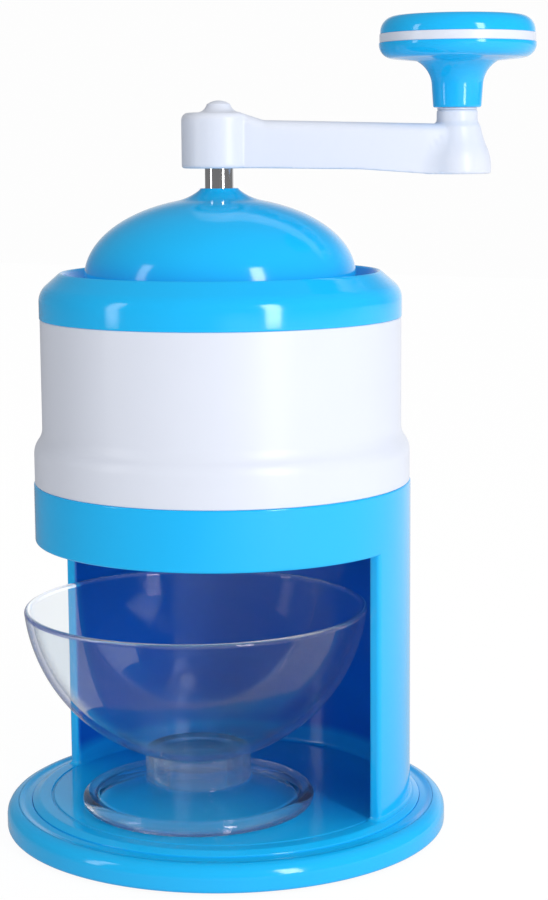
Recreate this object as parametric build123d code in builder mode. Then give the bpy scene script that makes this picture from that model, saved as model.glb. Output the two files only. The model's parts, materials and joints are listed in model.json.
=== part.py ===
"""Hand-cranked ice shaver, in millimetres.

+Z is up and -Y is the front, where the stand is open for the bowl.
The origin is on the table, on the axis that the shaft, dome, barrel and stand share.
From the table up: a foot with a non-slip ring, the stand (floor, half-round column and collar),
the barrel with its cutter plate and blade, the lid (cap ring and dome) with its bush, the drive
shaft with a sprung press plate, the crank arm, and a free-turning knob. A clear bowl stands on
the floor of the stand, under the blade.
"""

from build123d import *

import os
from math import acos, cos, degrees, pi, radians, sin, sqrt, tan

os.makedirs("parts", exist_ok=True)

# ------------------------------------------------------------------ driving dimensions
body_radius = 60.0  # outside of the collar and the column
wall = 2.4  # usual wall of the mouldings
fit_gap = 0.3  # clearance between mouldings that lift apart
running_gap = 0.06  # clearance on a radius that turns
seat_gap = 0.05  # clearance between faces that turn or slide on each other

# Screws and the holes that they pass or bite into
screw_pass_radius = 1.7
pilot_radius = 1.35
screw_radius = 1.3

# Foot
foot_radius = 71.2
foot_rim_z = 1.2
foot_widest_z = 4.6
foot_ledge_z = 9.4
foot_round = 4.8
foot_web_bottom = 6.1
foot_skirt = 2.8
foot_lower_round = 1.2
foot_slope = 0.2  # rise of the ledge from the rim to the pocket
ring_inner_radius = 58.0
ring_outer_radius = 63.0
ring_seat_z = 2.2
ring_lip = 1.2
ring_bevel = 0.6
foot_rib_count = 8
foot_rib_thickness = 1.8
foot_hub_radius = 11.0
foot_screw_circle = 40.0
foot_screw_angle = 22.5
foot_well_radius = 5.6
foot_well_seat_z = 2.7
foot_head_radius = 3.2  # of the recess for a screw's head

# Stand
floor_bottom = 8.5
floor_top = 11.0
floor_radius = 63.0
floor_round = 1.1
column_wall = 4.0
column_root_round = 1.2
column_front_round = 1.3
column_overlap = 2.0  # how far the column goes on into the collar
column_front_y = -5.0  # the column's two front edges stand this far in front of the axis
collar_bottom = 94.9
collar_top = 113.6
collar_inner_radius = 56.2
collar_round = 0.8  # at its lower edge
collar_bevel = 0.4
deck_thickness = 3.1
outlet_radius = 48.0
boss_radius = 3.5
boss_bottom = 4.2
boss_pilot_depth = 5.4
drip_groove_width = 0.9
drip_groove_depth = 0.6
key_count = 3
key_width = 7.4
key_depth = 1.5

# Barrel
barrel_radius = 57.0
barrel_bore = 53.4
barrel_top = 165.4
skirt_radius = 59.7
skirt_top = 123.0
waist_z = 131.0
spigot_bottom = 101.0
ledge_bore = 47.0
skirt_slot_width = 1.5
skirt_slot_top = 121.0

# Cutter plate and blade
cutter_bottom = spigot_bottom + wall
cutter_thickness = 4.0
cutter_screw_circle = 50.0
blade_start = 6.0  # from the axis to the near end of the blade
blade_length = 36.0
blade_width = 15.0
blade_thickness = 1.2
blade_angle = 30.0
blade_lift = 0.6  # the edge stands this far above the plate
blade_bevel = 3.2
blade_screw_inset = 8.0
blade_screw_depth = 9.5  # from the edge, down the blade
mouth_width = 7.0
bed_back = 15.5
bed_end = 1.0  # how far the bed goes on past each end of the blade
blade_slot = (5.2, 3.2)  # length and width, for setting the blade
cutter_pilot_depth = 3.2
blade_pilot_depth = 3.6

# Cap ring and dome
cap_radius = 57.2
cap_crest_z = 179.7
cap_spigot_bottom = 157.0
cap_spigot_wall = 2.2
cap_floor_top = 175.6
dome_radius = 42.8
dome_centre_z = 178.2
dome_rise = 24.8
dome_skirt_bottom = 168.6
dome_step_radius = 44.4
neck_radius = 5.9
neck_top = 205.6
flare_angle = 71.5  # on the dome's ellipse, where the neck's flare begins
hook_count = 4
hook_arc = 16.0
hook_reach = 1.2
hook_height = 2.2
hook_slot = 1.2  # width of the slot on each side of a hook
gusset_count = 6
gusset_reach = 26.0
gusset_thickness = 1.6
bush_radius = 6.5
bush_bottom = 185.6
bush_top = 202.6
bush_flange_radius = 8.8
bush_flange_thickness = 1.4
bush_housing_radius = 9.2

# Shaft and feed
shaft_radius = 4.5
journal_radius = 4.0
shaft_hex = 7.0  # across flats
shaft_flats = 7.6  # across the two flats that drive the crank arm
shaft_bottom = 117.1
shaft_top = 222.0
clip_groove_radius = 3.2
clip_radius = 6.2
clip_thickness = 0.8
clip_mouth = 4.4
shaft_top_tap = (1.6, 10.0)  # radius and depth, for the crank screw
shaft_bottom_tap = (1.4, 9.0)  # radius and depth, for the end screw
washer_thickness = 0.5
thrust_washer_radius = 8.0
spring_seat_radius = 12.6
spring_seat_thickness = 1.0
spring_seat_rim = 1.6
spring_seat_rim_wall = 0.8
end_washer_radius = 6.2
end_washer_thickness = 0.9
press_radius = 44.0
press_thickness = 3.0
press_rib_height = 3.0
press_rib_count = 6
press_rim_wall = 1.8
press_cup_wall = 1.6
press_hub_radius = 7.5
press_hub_height = 16.6
press_bore_hex = 7.4  # across flats
press_cup_radius = 12.2  # inside the ring that centres the spring
spike_radius = 1.2
spike_point = 3.4  # length of the cone at its tip
spike_drop = 5.4  # below the press plate
spring_radius = 10.5
spring_wire = 0.7  # radius of the wire
spring_close_pitch = 2.1
spring_open_coils = 7
spring_close_coils = 1  # at each end

# Crank and knob
crank_angle = 31.5  # where the arm points at rest, from +X
crank_radius = 74.4
hub_radius = 11.7
hub_bottom = 211.8
hub_top = 229.0
hub_boss_radius = 7.2
hub_slope = (6.5, 14.0)  # the hub's top runs down to the bar between these
arm_top_near = 226.5
arm_top_far = 224.9
arm_bottom_far = 210.6
arm_foot_bottom = 209.5
arm_half_width_near = 9.0
arm_half_width_far = 7.4
arm_ceiling_z = 222.3
arm_foot_radius = 10.7
pin_boss_radius = 6.4
pin_boss_top = 229.3
crank_screw_seat_z = 224.6
hub_recess_radius = 4.4
hub_round = 2.2
arm_round = 3.0
arm_rib_count = 3
arm_rib_pitch = 13.5
arm_rib_thickness = 1.6
hub_cap_radius = 6.9
hub_bump_radius = 3.7
hub_cap_top = 232.7
pin_radius = 3.0
pin_thread_radius = 2.2
pin_head = (5.4, 2.0)  # radius and height
knob_washer_thickness = 0.6
knob_stem_radii = (7.5, 8.0)  # at its bottom and its top
knob_stem_top = 237.2
knob_radius = 24.4
knob_under_z = 245.1
knob_under_radii = (12.8, 20.5)  # of the underside's nearly level part
knob_under_rise = 0.8
knob_band_bottom = 249.8
knob_band_top = 252.6
knob_top = 258.6
knob_pocket_radius = 21.6
knob_pocket_floor = 247.6
knob_pin_seat_z = 246.2
knob_pin_pocket = 6.2  # radius of the recess for the pin's head
knob_crown_radius = 20.0  # where the rim's curve meets the crown
knob_crown_rise = 0.6

# Bowl
bowl_offset = 16.2  # the bowl stands this far in front of the axis
bowl_sphere_radius = 54.4
bowl_centre_z = 80.6
bowl_rim_z = 75.6
bowl_wall = 2.0
bowl_stem_radius = 16.8
bowl_stem_wall = 2.6
bowl_stem_bottom = 19.8
bowl_foot_radius = 36.9
bowl_bead_radius = 2.3


# ------------------------------------------------------------------ shared helpers
def upright(angle, centre=(0.0, 0.0)):
    """Upright plane whose X points outwards from the centre at this angle, and whose Y is up."""
    c, s = cos(radians(angle)), sin(radians(angle))
    return Plane(origin=(*centre, 0), x_dir=(c, s, 0), z_dir=(s, -c, 0))


def level(z, angle=0.0, centre=(0.0, 0.0)):
    """Level plane at height z whose X points at this angle."""
    x_direction = (cos(radians(angle)), sin(radians(angle)), 0)
    return Plane(origin=(*centre, z), x_dir=x_direction, z_dir=(0, 0, 1))


def write(builder, name):
    """Labels a finished piece and writes it as parts/NAME.step."""
    builder.part.label = name
    export_step(builder.part, f"parts/{name}.step")


def pan_screw(head_radius, head_height, shank_radius, shank_length):
    """Pan-head screw whose shank goes up from the origin and whose head hangs below it."""
    with BuildPart() as screw:
        with BuildSketch(Plane.XZ):
            with BuildLine():
                Polyline(
                    (0, -head_height),
                    (0.7 * head_radius, -head_height),
                    (head_radius, -0.5 * head_height),
                    (head_radius, 0),
                    (shank_radius, 0),
                    (shank_radius, shank_length - shank_radius),
                    (0, shank_length),
                    close=True,
                )
            make_face()
        revolve(axis=Axis.Z)
    return screw.part


def domed_top(radius, edge_z, top_z):
    """Shallow arc, centred on the axis, from this radius at its edge up to the axis."""
    rise = top_z - edge_z
    sphere_radius = (radius**2 + rise**2) / (2 * rise)
    half_way = top_z - sphere_radius + sqrt(sphere_radius**2 - radius**2 / 4)
    ThreePointArc((radius, edge_z), (radius / 2, half_way), (0, top_z))


def flat_ring(inner_radius, outer_radius, bottom, thickness, centre=(0.0, 0.0)):
    """Flat washer with its axis upright at the centre."""
    with BuildPart() as ring:
        with BuildSketch(level(bottom, centre=centre)):
            Circle(outer_radius)
            Circle(inner_radius, mode=Mode.SUBTRACT)
        extrude(amount=thickness)
    return ring


knob_centre = (crank_radius * cos(radians(crank_angle)), crank_radius * sin(radians(crank_angle)))
bowl_centre = (0.0, -bowl_offset)
knob_axis = Axis((*knob_centre, 0), (0, 0, 1))
bowl_axis = Axis((*bowl_centre, 0), (0, 0, 1))

# ------------------------------------------------------------------ non-slip ring
with BuildPart() as non_slip_ring:
    with BuildSketch(Plane.XZ):
        with BuildLine():
            Polyline(
                (ring_inner_radius + ring_bevel, 0),
                (ring_outer_radius - ring_bevel, 0),
                (ring_outer_radius, ring_bevel),
                (ring_outer_radius, ring_seat_z),
                (ring_inner_radius, ring_seat_z),
                (ring_inner_radius, ring_bevel),
                close=True,
            )
        make_face()
    revolve(axis=Axis.Z)
write(non_slip_ring, "non_slip_ring")

# ------------------------------------------------------------------ foot: the round flange below the stand
pocket_radius = floor_radius + fit_gap
skirt_inside = foot_radius - foot_skirt
lip_inside = ring_inner_radius - ring_lip
lip_outside = ring_outer_radius + ring_lip
with BuildPart() as base_foot:
    with BuildSketch(Plane.XZ):
        with BuildLine():
            Line((skirt_inside, foot_rim_z), (foot_radius - foot_lower_round, foot_rim_z))
            TangentArc(
                (foot_radius - foot_lower_round, foot_rim_z),
                (foot_radius, foot_rim_z + foot_lower_round),
                tangent=(1, 0),
            )
            Line((foot_radius, foot_rim_z + foot_lower_round), (foot_radius, foot_widest_z))
            TangentArc(
                (foot_radius, foot_widest_z),
                (foot_radius - foot_round, foot_ledge_z),
                tangent=(0, 1),
            )
            Polyline(
                (foot_radius - foot_round, foot_ledge_z),
                (pocket_radius, foot_ledge_z + foot_slope),
                (pocket_radius, floor_bottom),
                (0, floor_bottom),
                (0, foot_web_bottom),
                (lip_inside, foot_web_bottom),
                (lip_inside, foot_rim_z),
                (ring_inner_radius, foot_rim_z),
                (ring_inner_radius, ring_seat_z),
                (ring_outer_radius, ring_seat_z),
                (ring_outer_radius, foot_rim_z),
                (lip_outside, foot_rim_z),
                (lip_outside, foot_web_bottom + 0.6),
                (skirt_inside - 2.2, foot_web_bottom + 0.6),
                (skirt_inside, foot_widest_z - 0.2),
                (skirt_inside, foot_rim_z),
            )
        make_face()
    revolve(axis=Axis.Z)
    # ribs and a hub under the web
    rib_bottom = foot_rim_z + 1.4
    rib_span = lip_inside - foot_hub_radius + 2
    with BuildSketch(Plane.XY.offset(rib_bottom)):
        with PolarLocations(radius=(lip_inside + foot_hub_radius) / 2, count=foot_rib_count):
            Rectangle(rib_span, foot_rib_thickness)
        Circle(foot_hub_radius)
        Circle(foot_hub_radius - foot_rib_thickness, mode=Mode.SUBTRACT)
    extrude(amount=foot_web_bottom - rib_bottom + 0.5)
    # four wells that hold the stand's screw bosses
    with BuildSketch(Plane.XY.offset(foot_rim_z)):
        with PolarLocations(radius=foot_screw_circle, count=4, start_angle=foot_screw_angle):
            Circle(foot_well_radius)
    extrude(amount=foot_web_bottom - foot_rim_z + 0.5)
    with BuildSketch(Plane.XY.offset(boss_bottom)):
        with PolarLocations(radius=foot_screw_circle, count=4, start_angle=foot_screw_angle):
            Circle(boss_radius + fit_gap)
    extrude(amount=floor_bottom - boss_bottom, mode=Mode.SUBTRACT)
    with BuildSketch(Plane.XY.offset(foot_rim_z)):
        with PolarLocations(radius=foot_screw_circle, count=4, start_angle=foot_screw_angle):
            Circle(foot_head_radius)
    extrude(amount=foot_well_seat_z - foot_rim_z, mode=Mode.SUBTRACT)
    with BuildSketch(Plane.XY.offset(foot_well_seat_z)):
        with PolarLocations(radius=foot_screw_circle, count=4, start_angle=foot_screw_angle):
            Circle(screw_pass_radius)
    extrude(amount=boss_bottom - foot_well_seat_z, mode=Mode.SUBTRACT)
write(base_foot, "base_foot")

foot_screw = pan_screw(2.8, 1.4, screw_radius, 6.2)
with BuildPart() as foot_screws:
    with Locations((0, 0, foot_well_seat_z)):
        with PolarLocations(radius=foot_screw_circle, count=4, start_angle=foot_screw_angle):
            add(foot_screw)
write(foot_screws, "foot_screws")

# ------------------------------------------------------------------ stand: floor, half-round column, collar, deck
recess_radius = body_radius - column_wall
with BuildPart() as stand:
    with BuildSketch(Plane.XY.offset(floor_bottom)):
        Circle(floor_radius)
    extrude(amount=floor_top - floor_bottom)
    fillet(stand.edges().group_by(Axis.Z)[-1], radius=floor_round)
    # column, open to the front, with softened front corners, grown out of the floor
    with BuildSketch(Plane.XY.offset(floor_top)) as column_plan:
        Circle(body_radius)
        Circle(recess_radius, mode=Mode.SUBTRACT)
        with Locations((0, column_front_y - body_radius)):
            Rectangle(2 * body_radius, 2 * body_radius, mode=Mode.SUBTRACT)
        fillet(column_plan.vertices().group_by(Axis.Y)[0], radius=column_front_round)
    extrude(amount=collar_bottom - floor_top + column_overlap)
    column_root = (
        stand.edges()
        .filter_by_position(Axis.Z, floor_top - 0.01, floor_top + 0.01)
        .filter_by(lambda edge: edge.length < 2 * pi * (floor_radius - 3))
    )
    fillet(column_root, radius=column_root_round)
    # collar, rounded at its lower edge, with the deck inside it
    with BuildSketch(Plane.XZ):
        with BuildLine():
            Line((outlet_radius, collar_bottom), (body_radius - collar_round, collar_bottom))
            TangentArc(
                (body_radius - collar_round, collar_bottom),
                (body_radius, collar_bottom + collar_round),
                tangent=(1, 0),
            )
            Polyline(
                (body_radius, collar_bottom + collar_round),
                (body_radius, collar_top - collar_bevel),
                (body_radius - collar_bevel, collar_top),
                (collar_inner_radius, collar_top),
                (collar_inner_radius, collar_bottom + deck_thickness),
                (outlet_radius, collar_bottom + deck_thickness),
                (outlet_radius, collar_bottom),
            )
        make_face()
    revolve(axis=Axis.Z)
    # slots that take the barrel's keys
    with BuildSketch(Plane.XY.offset(spigot_bottom + wall)):
        with PolarLocations(radius=collar_inner_radius, count=key_count, start_angle=90):
            Rectangle(2 * (key_depth + fit_gap), key_width + 2 * fit_gap)
        Circle(collar_inner_radius - 0.1, mode=Mode.SUBTRACT)
    extrude(amount=collar_top - spigot_bottom, mode=Mode.SUBTRACT)
    # drip groove that carries the column's inner line round the front
    with BuildSketch(Plane.XY.offset(floor_top - drip_groove_depth)):
        Circle(recess_radius + drip_groove_width)
        Circle(recess_radius, mode=Mode.SUBTRACT)
        with Locations((0, column_front_y - 3 + body_radius)):
            Rectangle(2 * body_radius, 2 * body_radius, mode=Mode.SUBTRACT)
    extrude(amount=drip_groove_depth, mode=Mode.SUBTRACT)
    # screw bosses under the floor
    with BuildSketch(Plane.XY.offset(boss_bottom)):
        with PolarLocations(radius=foot_screw_circle, count=4, start_angle=foot_screw_angle):
            Circle(boss_radius)
    extrude(amount=floor_bottom - boss_bottom)
    with BuildSketch(Plane.XY.offset(boss_bottom)):
        with PolarLocations(radius=foot_screw_circle, count=4, start_angle=foot_screw_angle):
            Circle(pilot_radius)
    extrude(amount=boss_pilot_depth, mode=Mode.SUBTRACT)
write(stand, "stand")

# ------------------------------------------------------------------ barrel: the white ice chamber
spigot_radius = collar_inner_radius - fit_gap
skirt_inner = spigot_radius + skirt_slot_width
half_step = ((skirt_radius + barrel_radius) / 2, (skirt_top + waist_z) / 2)
with BuildPart() as barrel:
    with BuildSketch(Plane.XZ):
        with BuildLine():
            Polyline(
                (spigot_radius, spigot_bottom),
                (spigot_radius, skirt_slot_top),
                (skirt_inner, skirt_slot_top),
                (skirt_inner, collar_top),
                (skirt_radius - collar_bevel, collar_top),
                (skirt_radius, collar_top + collar_bevel),
                (skirt_radius, skirt_top),
            )
            lower_curve = TangentArc((skirt_radius, skirt_top), half_step, tangent=(0, 1))
            TangentArc(half_step, (barrel_radius, waist_z), tangent=lower_curve % 1)
            Polyline(
                (barrel_radius, waist_z),
                (barrel_radius, barrel_top),
                (barrel_bore, barrel_top),
                (barrel_bore, cutter_bottom),
                (ledge_bore, cutter_bottom),
                (ledge_bore, spigot_bottom),
                (spigot_radius, spigot_bottom),
            )
        make_face()
    revolve(axis=Axis.Z)
    # keys that drop into the collar's slots
    with BuildSketch(Plane.XY.offset(spigot_bottom + wall + fit_gap)):
        with PolarLocations(radius=spigot_radius, count=key_count, start_angle=90):
            Rectangle(2 * key_depth, key_width)
        Circle(spigot_radius - 0.5, mode=Mode.SUBTRACT)
    extrude(amount=collar_top - spigot_bottom - wall - fit_gap)
    # slots that take the lid's keys
    with BuildSketch(Plane.XY.offset(cap_spigot_bottom - fit_gap)):
        with PolarLocations(radius=barrel_bore, count=key_count, start_angle=30):
            Rectangle(2 * (key_depth + fit_gap), key_width + 2 * fit_gap)
    extrude(amount=barrel_top - cap_spigot_bottom + fit_gap, mode=Mode.SUBTRACT)
    # screw holes in the ledge
    with BuildSketch(Plane.XY.offset(spigot_bottom)):
        with PolarLocations(radius=cutter_screw_circle, count=3, start_angle=210):
            Circle(screw_pass_radius)
    extrude(amount=wall, mode=Mode.SUBTRACT)
write(barrel, "barrel")

# ------------------------------------------------------------------ cutter plate, blade and their screws
cutter_top = cutter_bottom + cutter_thickness
edge_z = cutter_top + blade_lift
blade_tilt = radians(blade_angle)
bed_top_y = -blade_lift / tan(blade_tilt)
bed_bottom_z = edge_z - bed_back * tan(blade_tilt)
blade_normal = (0, -sin(blade_tilt), cos(blade_tilt))  # from the blade into its bed
blade_screw_x = (blade_start + blade_screw_inset, blade_start + blade_length - blade_screw_inset)


def on_blade(distance, depth=0.0):
    """Y and Z of the point this far down the blade from its edge, and this deep into its bed."""
    return (
        -distance * cos(blade_tilt) - depth * sin(blade_tilt),
        edge_z - distance * sin(blade_tilt) + depth * cos(blade_tilt),
    )


def blade_screw_seat(screw_x, depth):
    """Plane square to a blade screw, at this depth from the face of the bed."""
    seat_point = (screw_x, *on_blade(blade_screw_depth, depth))
    return Plane(origin=seat_point, x_dir=(1, 0, 0), z_dir=blade_normal)


with BuildPart() as cutter_plate:
    with BuildSketch(Plane.XY.offset(cutter_bottom)):
        Circle(barrel_bore - fit_gap)
    extrude(amount=cutter_thickness)
    chamfer(cutter_plate.edges().group_by(Axis.Z)[-1], length=0.8)
    # block under the plate that the bed is cut from
    with BuildSketch(Plane.YZ.offset(blade_start - bed_end)):
        with BuildLine():
            Polyline(
                (-bed_back, cutter_bottom + 1),
                (-bed_back, bed_bottom_z),
                (0, bed_bottom_z),
                (0, cutter_bottom + 1),
                close=True,
            )
        make_face()
    extrude(amount=blade_length + 2 * bed_end)
    # mouth: everything in front of the bed, through the plate
    mouth_floor = on_blade(blade_width + 6)
    with BuildSketch(Plane.YZ.offset(blade_start - bed_end)):
        with BuildLine():
            Polyline(
                (bed_top_y, cutter_top),
                mouth_floor,
                (mouth_width, mouth_floor[1]),
                (mouth_width, cutter_top),
                close=True,
            )
        make_face()
    extrude(amount=blade_length + 2 * bed_end, mode=Mode.SUBTRACT)
    # pilot holes: three up from the ledge, two square to the blade
    with BuildSketch(Plane.XY.offset(cutter_bottom)):
        with PolarLocations(radius=cutter_screw_circle, count=3, start_angle=210):
            Circle(pilot_radius)
    extrude(amount=cutter_pilot_depth, mode=Mode.SUBTRACT)
    for screw_x in blade_screw_x:
        with BuildSketch(blade_screw_seat(screw_x, 0)):
            Circle(pilot_radius)
        extrude(amount=blade_pilot_depth, mode=Mode.SUBTRACT)
write(cutter_plate, "cutter_plate")

with BuildPart() as blade:
    with BuildSketch(Plane.YZ.offset(blade_start)):
        with BuildLine():
            Polyline(
                on_blade(0),
                on_blade(blade_width),
                on_blade(blade_width, -blade_thickness),
                on_blade(blade_bevel, -blade_thickness),
                close=True,
            )
        make_face()
    extrude(amount=blade_length)
    for screw_x in blade_screw_x:
        with BuildSketch(blade_screw_seat(screw_x, -blade_thickness)):
            SlotOverall(*blade_slot, rotation=90)
        extrude(amount=blade_thickness, mode=Mode.SUBTRACT)
write(blade, "blade")

blade_screw = pan_screw(2.9, 1.6, screw_radius, 4.4)
with BuildPart() as blade_screws:
    for screw_x in blade_screw_x:
        with Locations(blade_screw_seat(screw_x, -blade_thickness).location):
            add(blade_screw)
write(blade_screws, "blade_screws")

cutter_screw = pan_screw(2.6, 1.5, screw_radius, 5.2)
with BuildPart() as cutter_screws:
    with Locations((0, 0, spigot_bottom)):
        with PolarLocations(radius=cutter_screw_circle, count=3, start_angle=210):
            add(cutter_screw)
write(cutter_screws, "cutter_screws")

# ------------------------------------------------------------------ cap ring: the outer half of the lid
cap_spigot_radius = barrel_bore - fit_gap
cap_spigot_bore = cap_spigot_radius - cap_spigot_wall
cap_opening = dome_radius + fit_gap
cap_ceiling_z = cap_floor_top - wall
cap_shoulder = ((cap_radius, 171.0), (54.8, 176.0))  # ends of the shoulder's arc
cap_crest = ((51.6, 178.8), (50.5, cap_crest_z), (49.3, 178.8))  # arc over the crest
with BuildPart() as cap_ring:
    with BuildSketch(Plane.XZ):
        with BuildLine():
            Line((cap_radius, barrel_top), cap_shoulder[0])
            TangentArc(*cap_shoulder, tangent=(0, 1))
            Line(cap_shoulder[1], cap_crest[0])
            ThreePointArc(*cap_crest)
            Polyline(
                cap_crest[2],
                (cap_crest[2][0] - 0.7, cap_floor_top + 0.8),
                (cap_crest[2][0] - 1.5, cap_floor_top),
                (cap_opening, cap_floor_top),
                (cap_opening, cap_ceiling_z),
                (cap_spigot_bore, cap_ceiling_z),
                (cap_spigot_bore, cap_spigot_bottom),
                (cap_spigot_radius - 0.6, cap_spigot_bottom),
                (cap_spigot_radius, cap_spigot_bottom + 0.6),
                (cap_spigot_radius, cap_ceiling_z),
                (cap_radius - wall, cap_ceiling_z - 1.6),
                (cap_radius - wall, barrel_top),
                (cap_radius, barrel_top),
            )
        make_face()
    revolve(axis=Axis.Z)
    # keys that stop the lid turning in the barrel
    with BuildSketch(Plane.XY.offset(cap_spigot_bottom)):
        with PolarLocations(radius=cap_spigot_radius, count=key_count, start_angle=30):
            Rectangle(2 * key_depth, key_width)
        Circle(cap_spigot_radius - 0.5, mode=Mode.SUBTRACT)
    extrude(amount=barrel_top - cap_spigot_bottom)
write(cap_ring, "cap_ring")

# ------------------------------------------------------------------ dome: snaps into the cap ring, carries the bush
inner_radius = dome_radius - wall
inner_rise = dome_rise - wall
housing_bottom = bush_bottom + bush_flange_thickness
housing_bore = bush_radius + 0.02


def middle_of_shell(radius):
    """Point half way through the dome's shell, this far from the axis."""
    fraction = radius / (dome_radius - wall / 2)
    return (radius, dome_centre_z + (dome_rise - wall / 2) * sqrt(1 - fraction**2))


with BuildPart() as dome:
    with BuildSketch(Plane.XZ):
        with BuildLine():
            crown = EllipticalCenterArc(
                (0, dome_centre_z), dome_radius, dome_rise, start_angle=0, arc_size=flare_angle
            )
            flare = TangentArc(crown @ 1, (neck_radius + 0.5, neck_top - 0.6), tangent=crown % 1)
            ceiling = EllipticalCenterArc(
                (0, dome_centre_z),
                inner_radius,
                inner_rise,
                start_angle=0,
                arc_size=degrees(acos(bush_housing_radius / inner_radius)),
            )
            Polyline(
                flare @ 1,
                (neck_radius, neck_top),
                (shaft_radius + fit_gap, neck_top),
                (shaft_radius + fit_gap, bush_top),
                (housing_bore, bush_top),
                (housing_bore, housing_bottom),
                (bush_housing_radius, housing_bottom),
                ceiling @ 1,
            )
            Polyline(
                ceiling @ 0,
                (inner_radius, dome_skirt_bottom),
                (dome_radius, dome_skirt_bottom),
                (dome_radius, cap_floor_top),
                (dome_step_radius, cap_floor_top),
                (dome_step_radius, cap_floor_top + 1.0),
                (dome_radius, cap_floor_top + 1.6),
                crown @ 0,
            )
        make_face()
    revolve(axis=Axis.Z)
    # gussets between the bush housing and the shell
    for gusset in range(gusset_count):
        with BuildSketch(upright(gusset * 360 / gusset_count)):
            with BuildLine():
                Polyline(
                    (bush_housing_radius - 0.4, housing_bottom + 2),
                    (gusset_reach - 1.5, middle_of_shell(gusset_reach)[1] - 2),
                    middle_of_shell(gusset_reach),
                    middle_of_shell(0.7 * gusset_reach),
                    middle_of_shell(bush_housing_radius - 0.4),
                    close=True,
                )
            make_face()
        extrude(amount=gusset_thickness / 2, both=True)
    # snap hooks on the skirt, under the cap ring's floor, each between two slots
    hook_top = cap_ceiling_z - seat_gap
    hook_angles = [45 + hook * 360 / hook_count for hook in range(hook_count)]
    for hook_angle in hook_angles:
        with BuildSketch(upright(hook_angle - hook_arc / 2)):
            with BuildLine():
                Polyline(
                    (dome_radius - 0.5, hook_top),
                    (dome_radius - 0.5, hook_top - hook_height),
                    (dome_radius + 0.1, hook_top - hook_height),
                    (dome_radius + hook_reach, hook_top - 0.6),
                    (dome_radius + hook_reach, hook_top),
                    close=True,
                )
            make_face()
        revolve(axis=Axis.Z, revolution_arc=hook_arc)
    with BuildSketch(Plane.XY.offset(dome_skirt_bottom)):
        for side in (-1, 1):
            slot_angle = hook_angles[0] + side * (hook_arc / 2 + 2)
            with PolarLocations(dome_radius - wall / 2, hook_count, start_angle=slot_angle):
                Rectangle(2 * wall, hook_slot)
    extrude(amount=cap_ceiling_z + 1 - dome_skirt_bottom, mode=Mode.SUBTRACT)
write(dome, "dome")

# ------------------------------------------------------------------ bush: the bearing of the shaft
with BuildPart() as shaft_bush:
    with BuildSketch(Plane.XZ):
        with BuildLine():
            Polyline(
                (journal_radius + running_gap, bush_bottom),
                (bush_flange_radius, bush_bottom),
                (bush_flange_radius, housing_bottom),
                (bush_radius, housing_bottom),
                (bush_radius, bush_top),
                (journal_radius + running_gap, bush_top),
                close=True,
            )
        make_face()
    revolve(axis=Axis.Z)
write(shaft_bush, "shaft_bush")

# ------------------------------------------------------------------ drive shaft, with its clip and washers
shoulder_z = bush_top + seat_gap
washer_bottom = bush_bottom - seat_gap - washer_thickness
clip_bottom = washer_bottom - clip_thickness
with BuildPart() as drive_shaft:
    with BuildSketch(Plane.XY.offset(shaft_bottom)):
        RegularPolygon(radius=shaft_hex / 2, side_count=6, major_radius=False)
        Circle(journal_radius, mode=Mode.INTERSECT)
    extrude(amount=clip_bottom - shaft_bottom)
    with BuildSketch(Plane.XY.offset(clip_bottom)):
        Circle(clip_groove_radius)
    extrude(amount=clip_thickness)
    with BuildSketch(Plane.XY.offset(washer_bottom)):
        Circle(journal_radius)
    extrude(amount=shoulder_z - washer_bottom)
    with BuildSketch(Plane.XY.offset(shoulder_z)):
        Circle(shaft_radius)
    extrude(amount=hub_bottom - shoulder_z)
    with BuildSketch(level(hub_bottom, crank_angle)):
        Circle(shaft_radius)
        Rectangle(2 * shaft_radius, shaft_flats, mode=Mode.INTERSECT)
    extrude(amount=shaft_top - hub_bottom)
    chamfer(drive_shaft.edges().group_by(Axis.Z)[-1], length=0.4)
    with BuildSketch(Plane.XY.offset(shaft_top - shaft_top_tap[1])):
        Circle(shaft_top_tap[0])
    extrude(amount=shaft_top_tap[1], mode=Mode.SUBTRACT)
    with BuildSketch(Plane.XY.offset(shaft_bottom)):
        Circle(shaft_bottom_tap[0])
    extrude(amount=shaft_bottom_tap[1], mode=Mode.SUBTRACT)
write(drive_shaft, "drive_shaft")

with BuildPart() as shaft_clip:
    with BuildSketch(Plane.XY.offset(clip_bottom)):
        Circle(clip_radius)
        Circle(clip_groove_radius + 0.02, mode=Mode.SUBTRACT)
        with Locations((clip_radius, 0)):
            Rectangle(2 * clip_radius, clip_mouth, mode=Mode.SUBTRACT)
    extrude(amount=clip_thickness)
write(shaft_clip, "shaft_clip")

thrust_washer = flat_ring(
    journal_radius + 0.1, thrust_washer_radius, washer_bottom, washer_thickness
)
write(thrust_washer, "thrust_washer")

seat_bottom = clip_bottom - spring_seat_thickness
with BuildPart() as spring_seat:
    with BuildSketch(Plane.XY.offset(seat_bottom)):
        Circle(spring_seat_radius)
    extrude(amount=spring_seat_thickness)
    with BuildSketch(Plane.XY.offset(seat_bottom - spring_seat_rim)):
        Circle(spring_seat_radius)
        Circle(spring_seat_radius - spring_seat_rim_wall, mode=Mode.SUBTRACT)
    extrude(amount=spring_seat_rim)
    with BuildSketch(Plane.XY.offset(seat_bottom)):
        RegularPolygon(radius=shaft_hex / 2 + 0.1, side_count=6, major_radius=False)
    extrude(amount=spring_seat_thickness, mode=Mode.SUBTRACT)
write(spring_seat, "spring_seat")

end_washer_bottom = shaft_bottom - end_washer_thickness
end_washer = flat_ring(
    screw_pass_radius, end_washer_radius, end_washer_bottom, end_washer_thickness
)
write(end_washer, "end_washer")

with BuildPart() as end_screw:
    with Locations((0, 0, end_washer_bottom)):
        add(pan_screw(3.2, 1.8, 1.35, 8.4))
write(end_screw, "end_screw")

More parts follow.
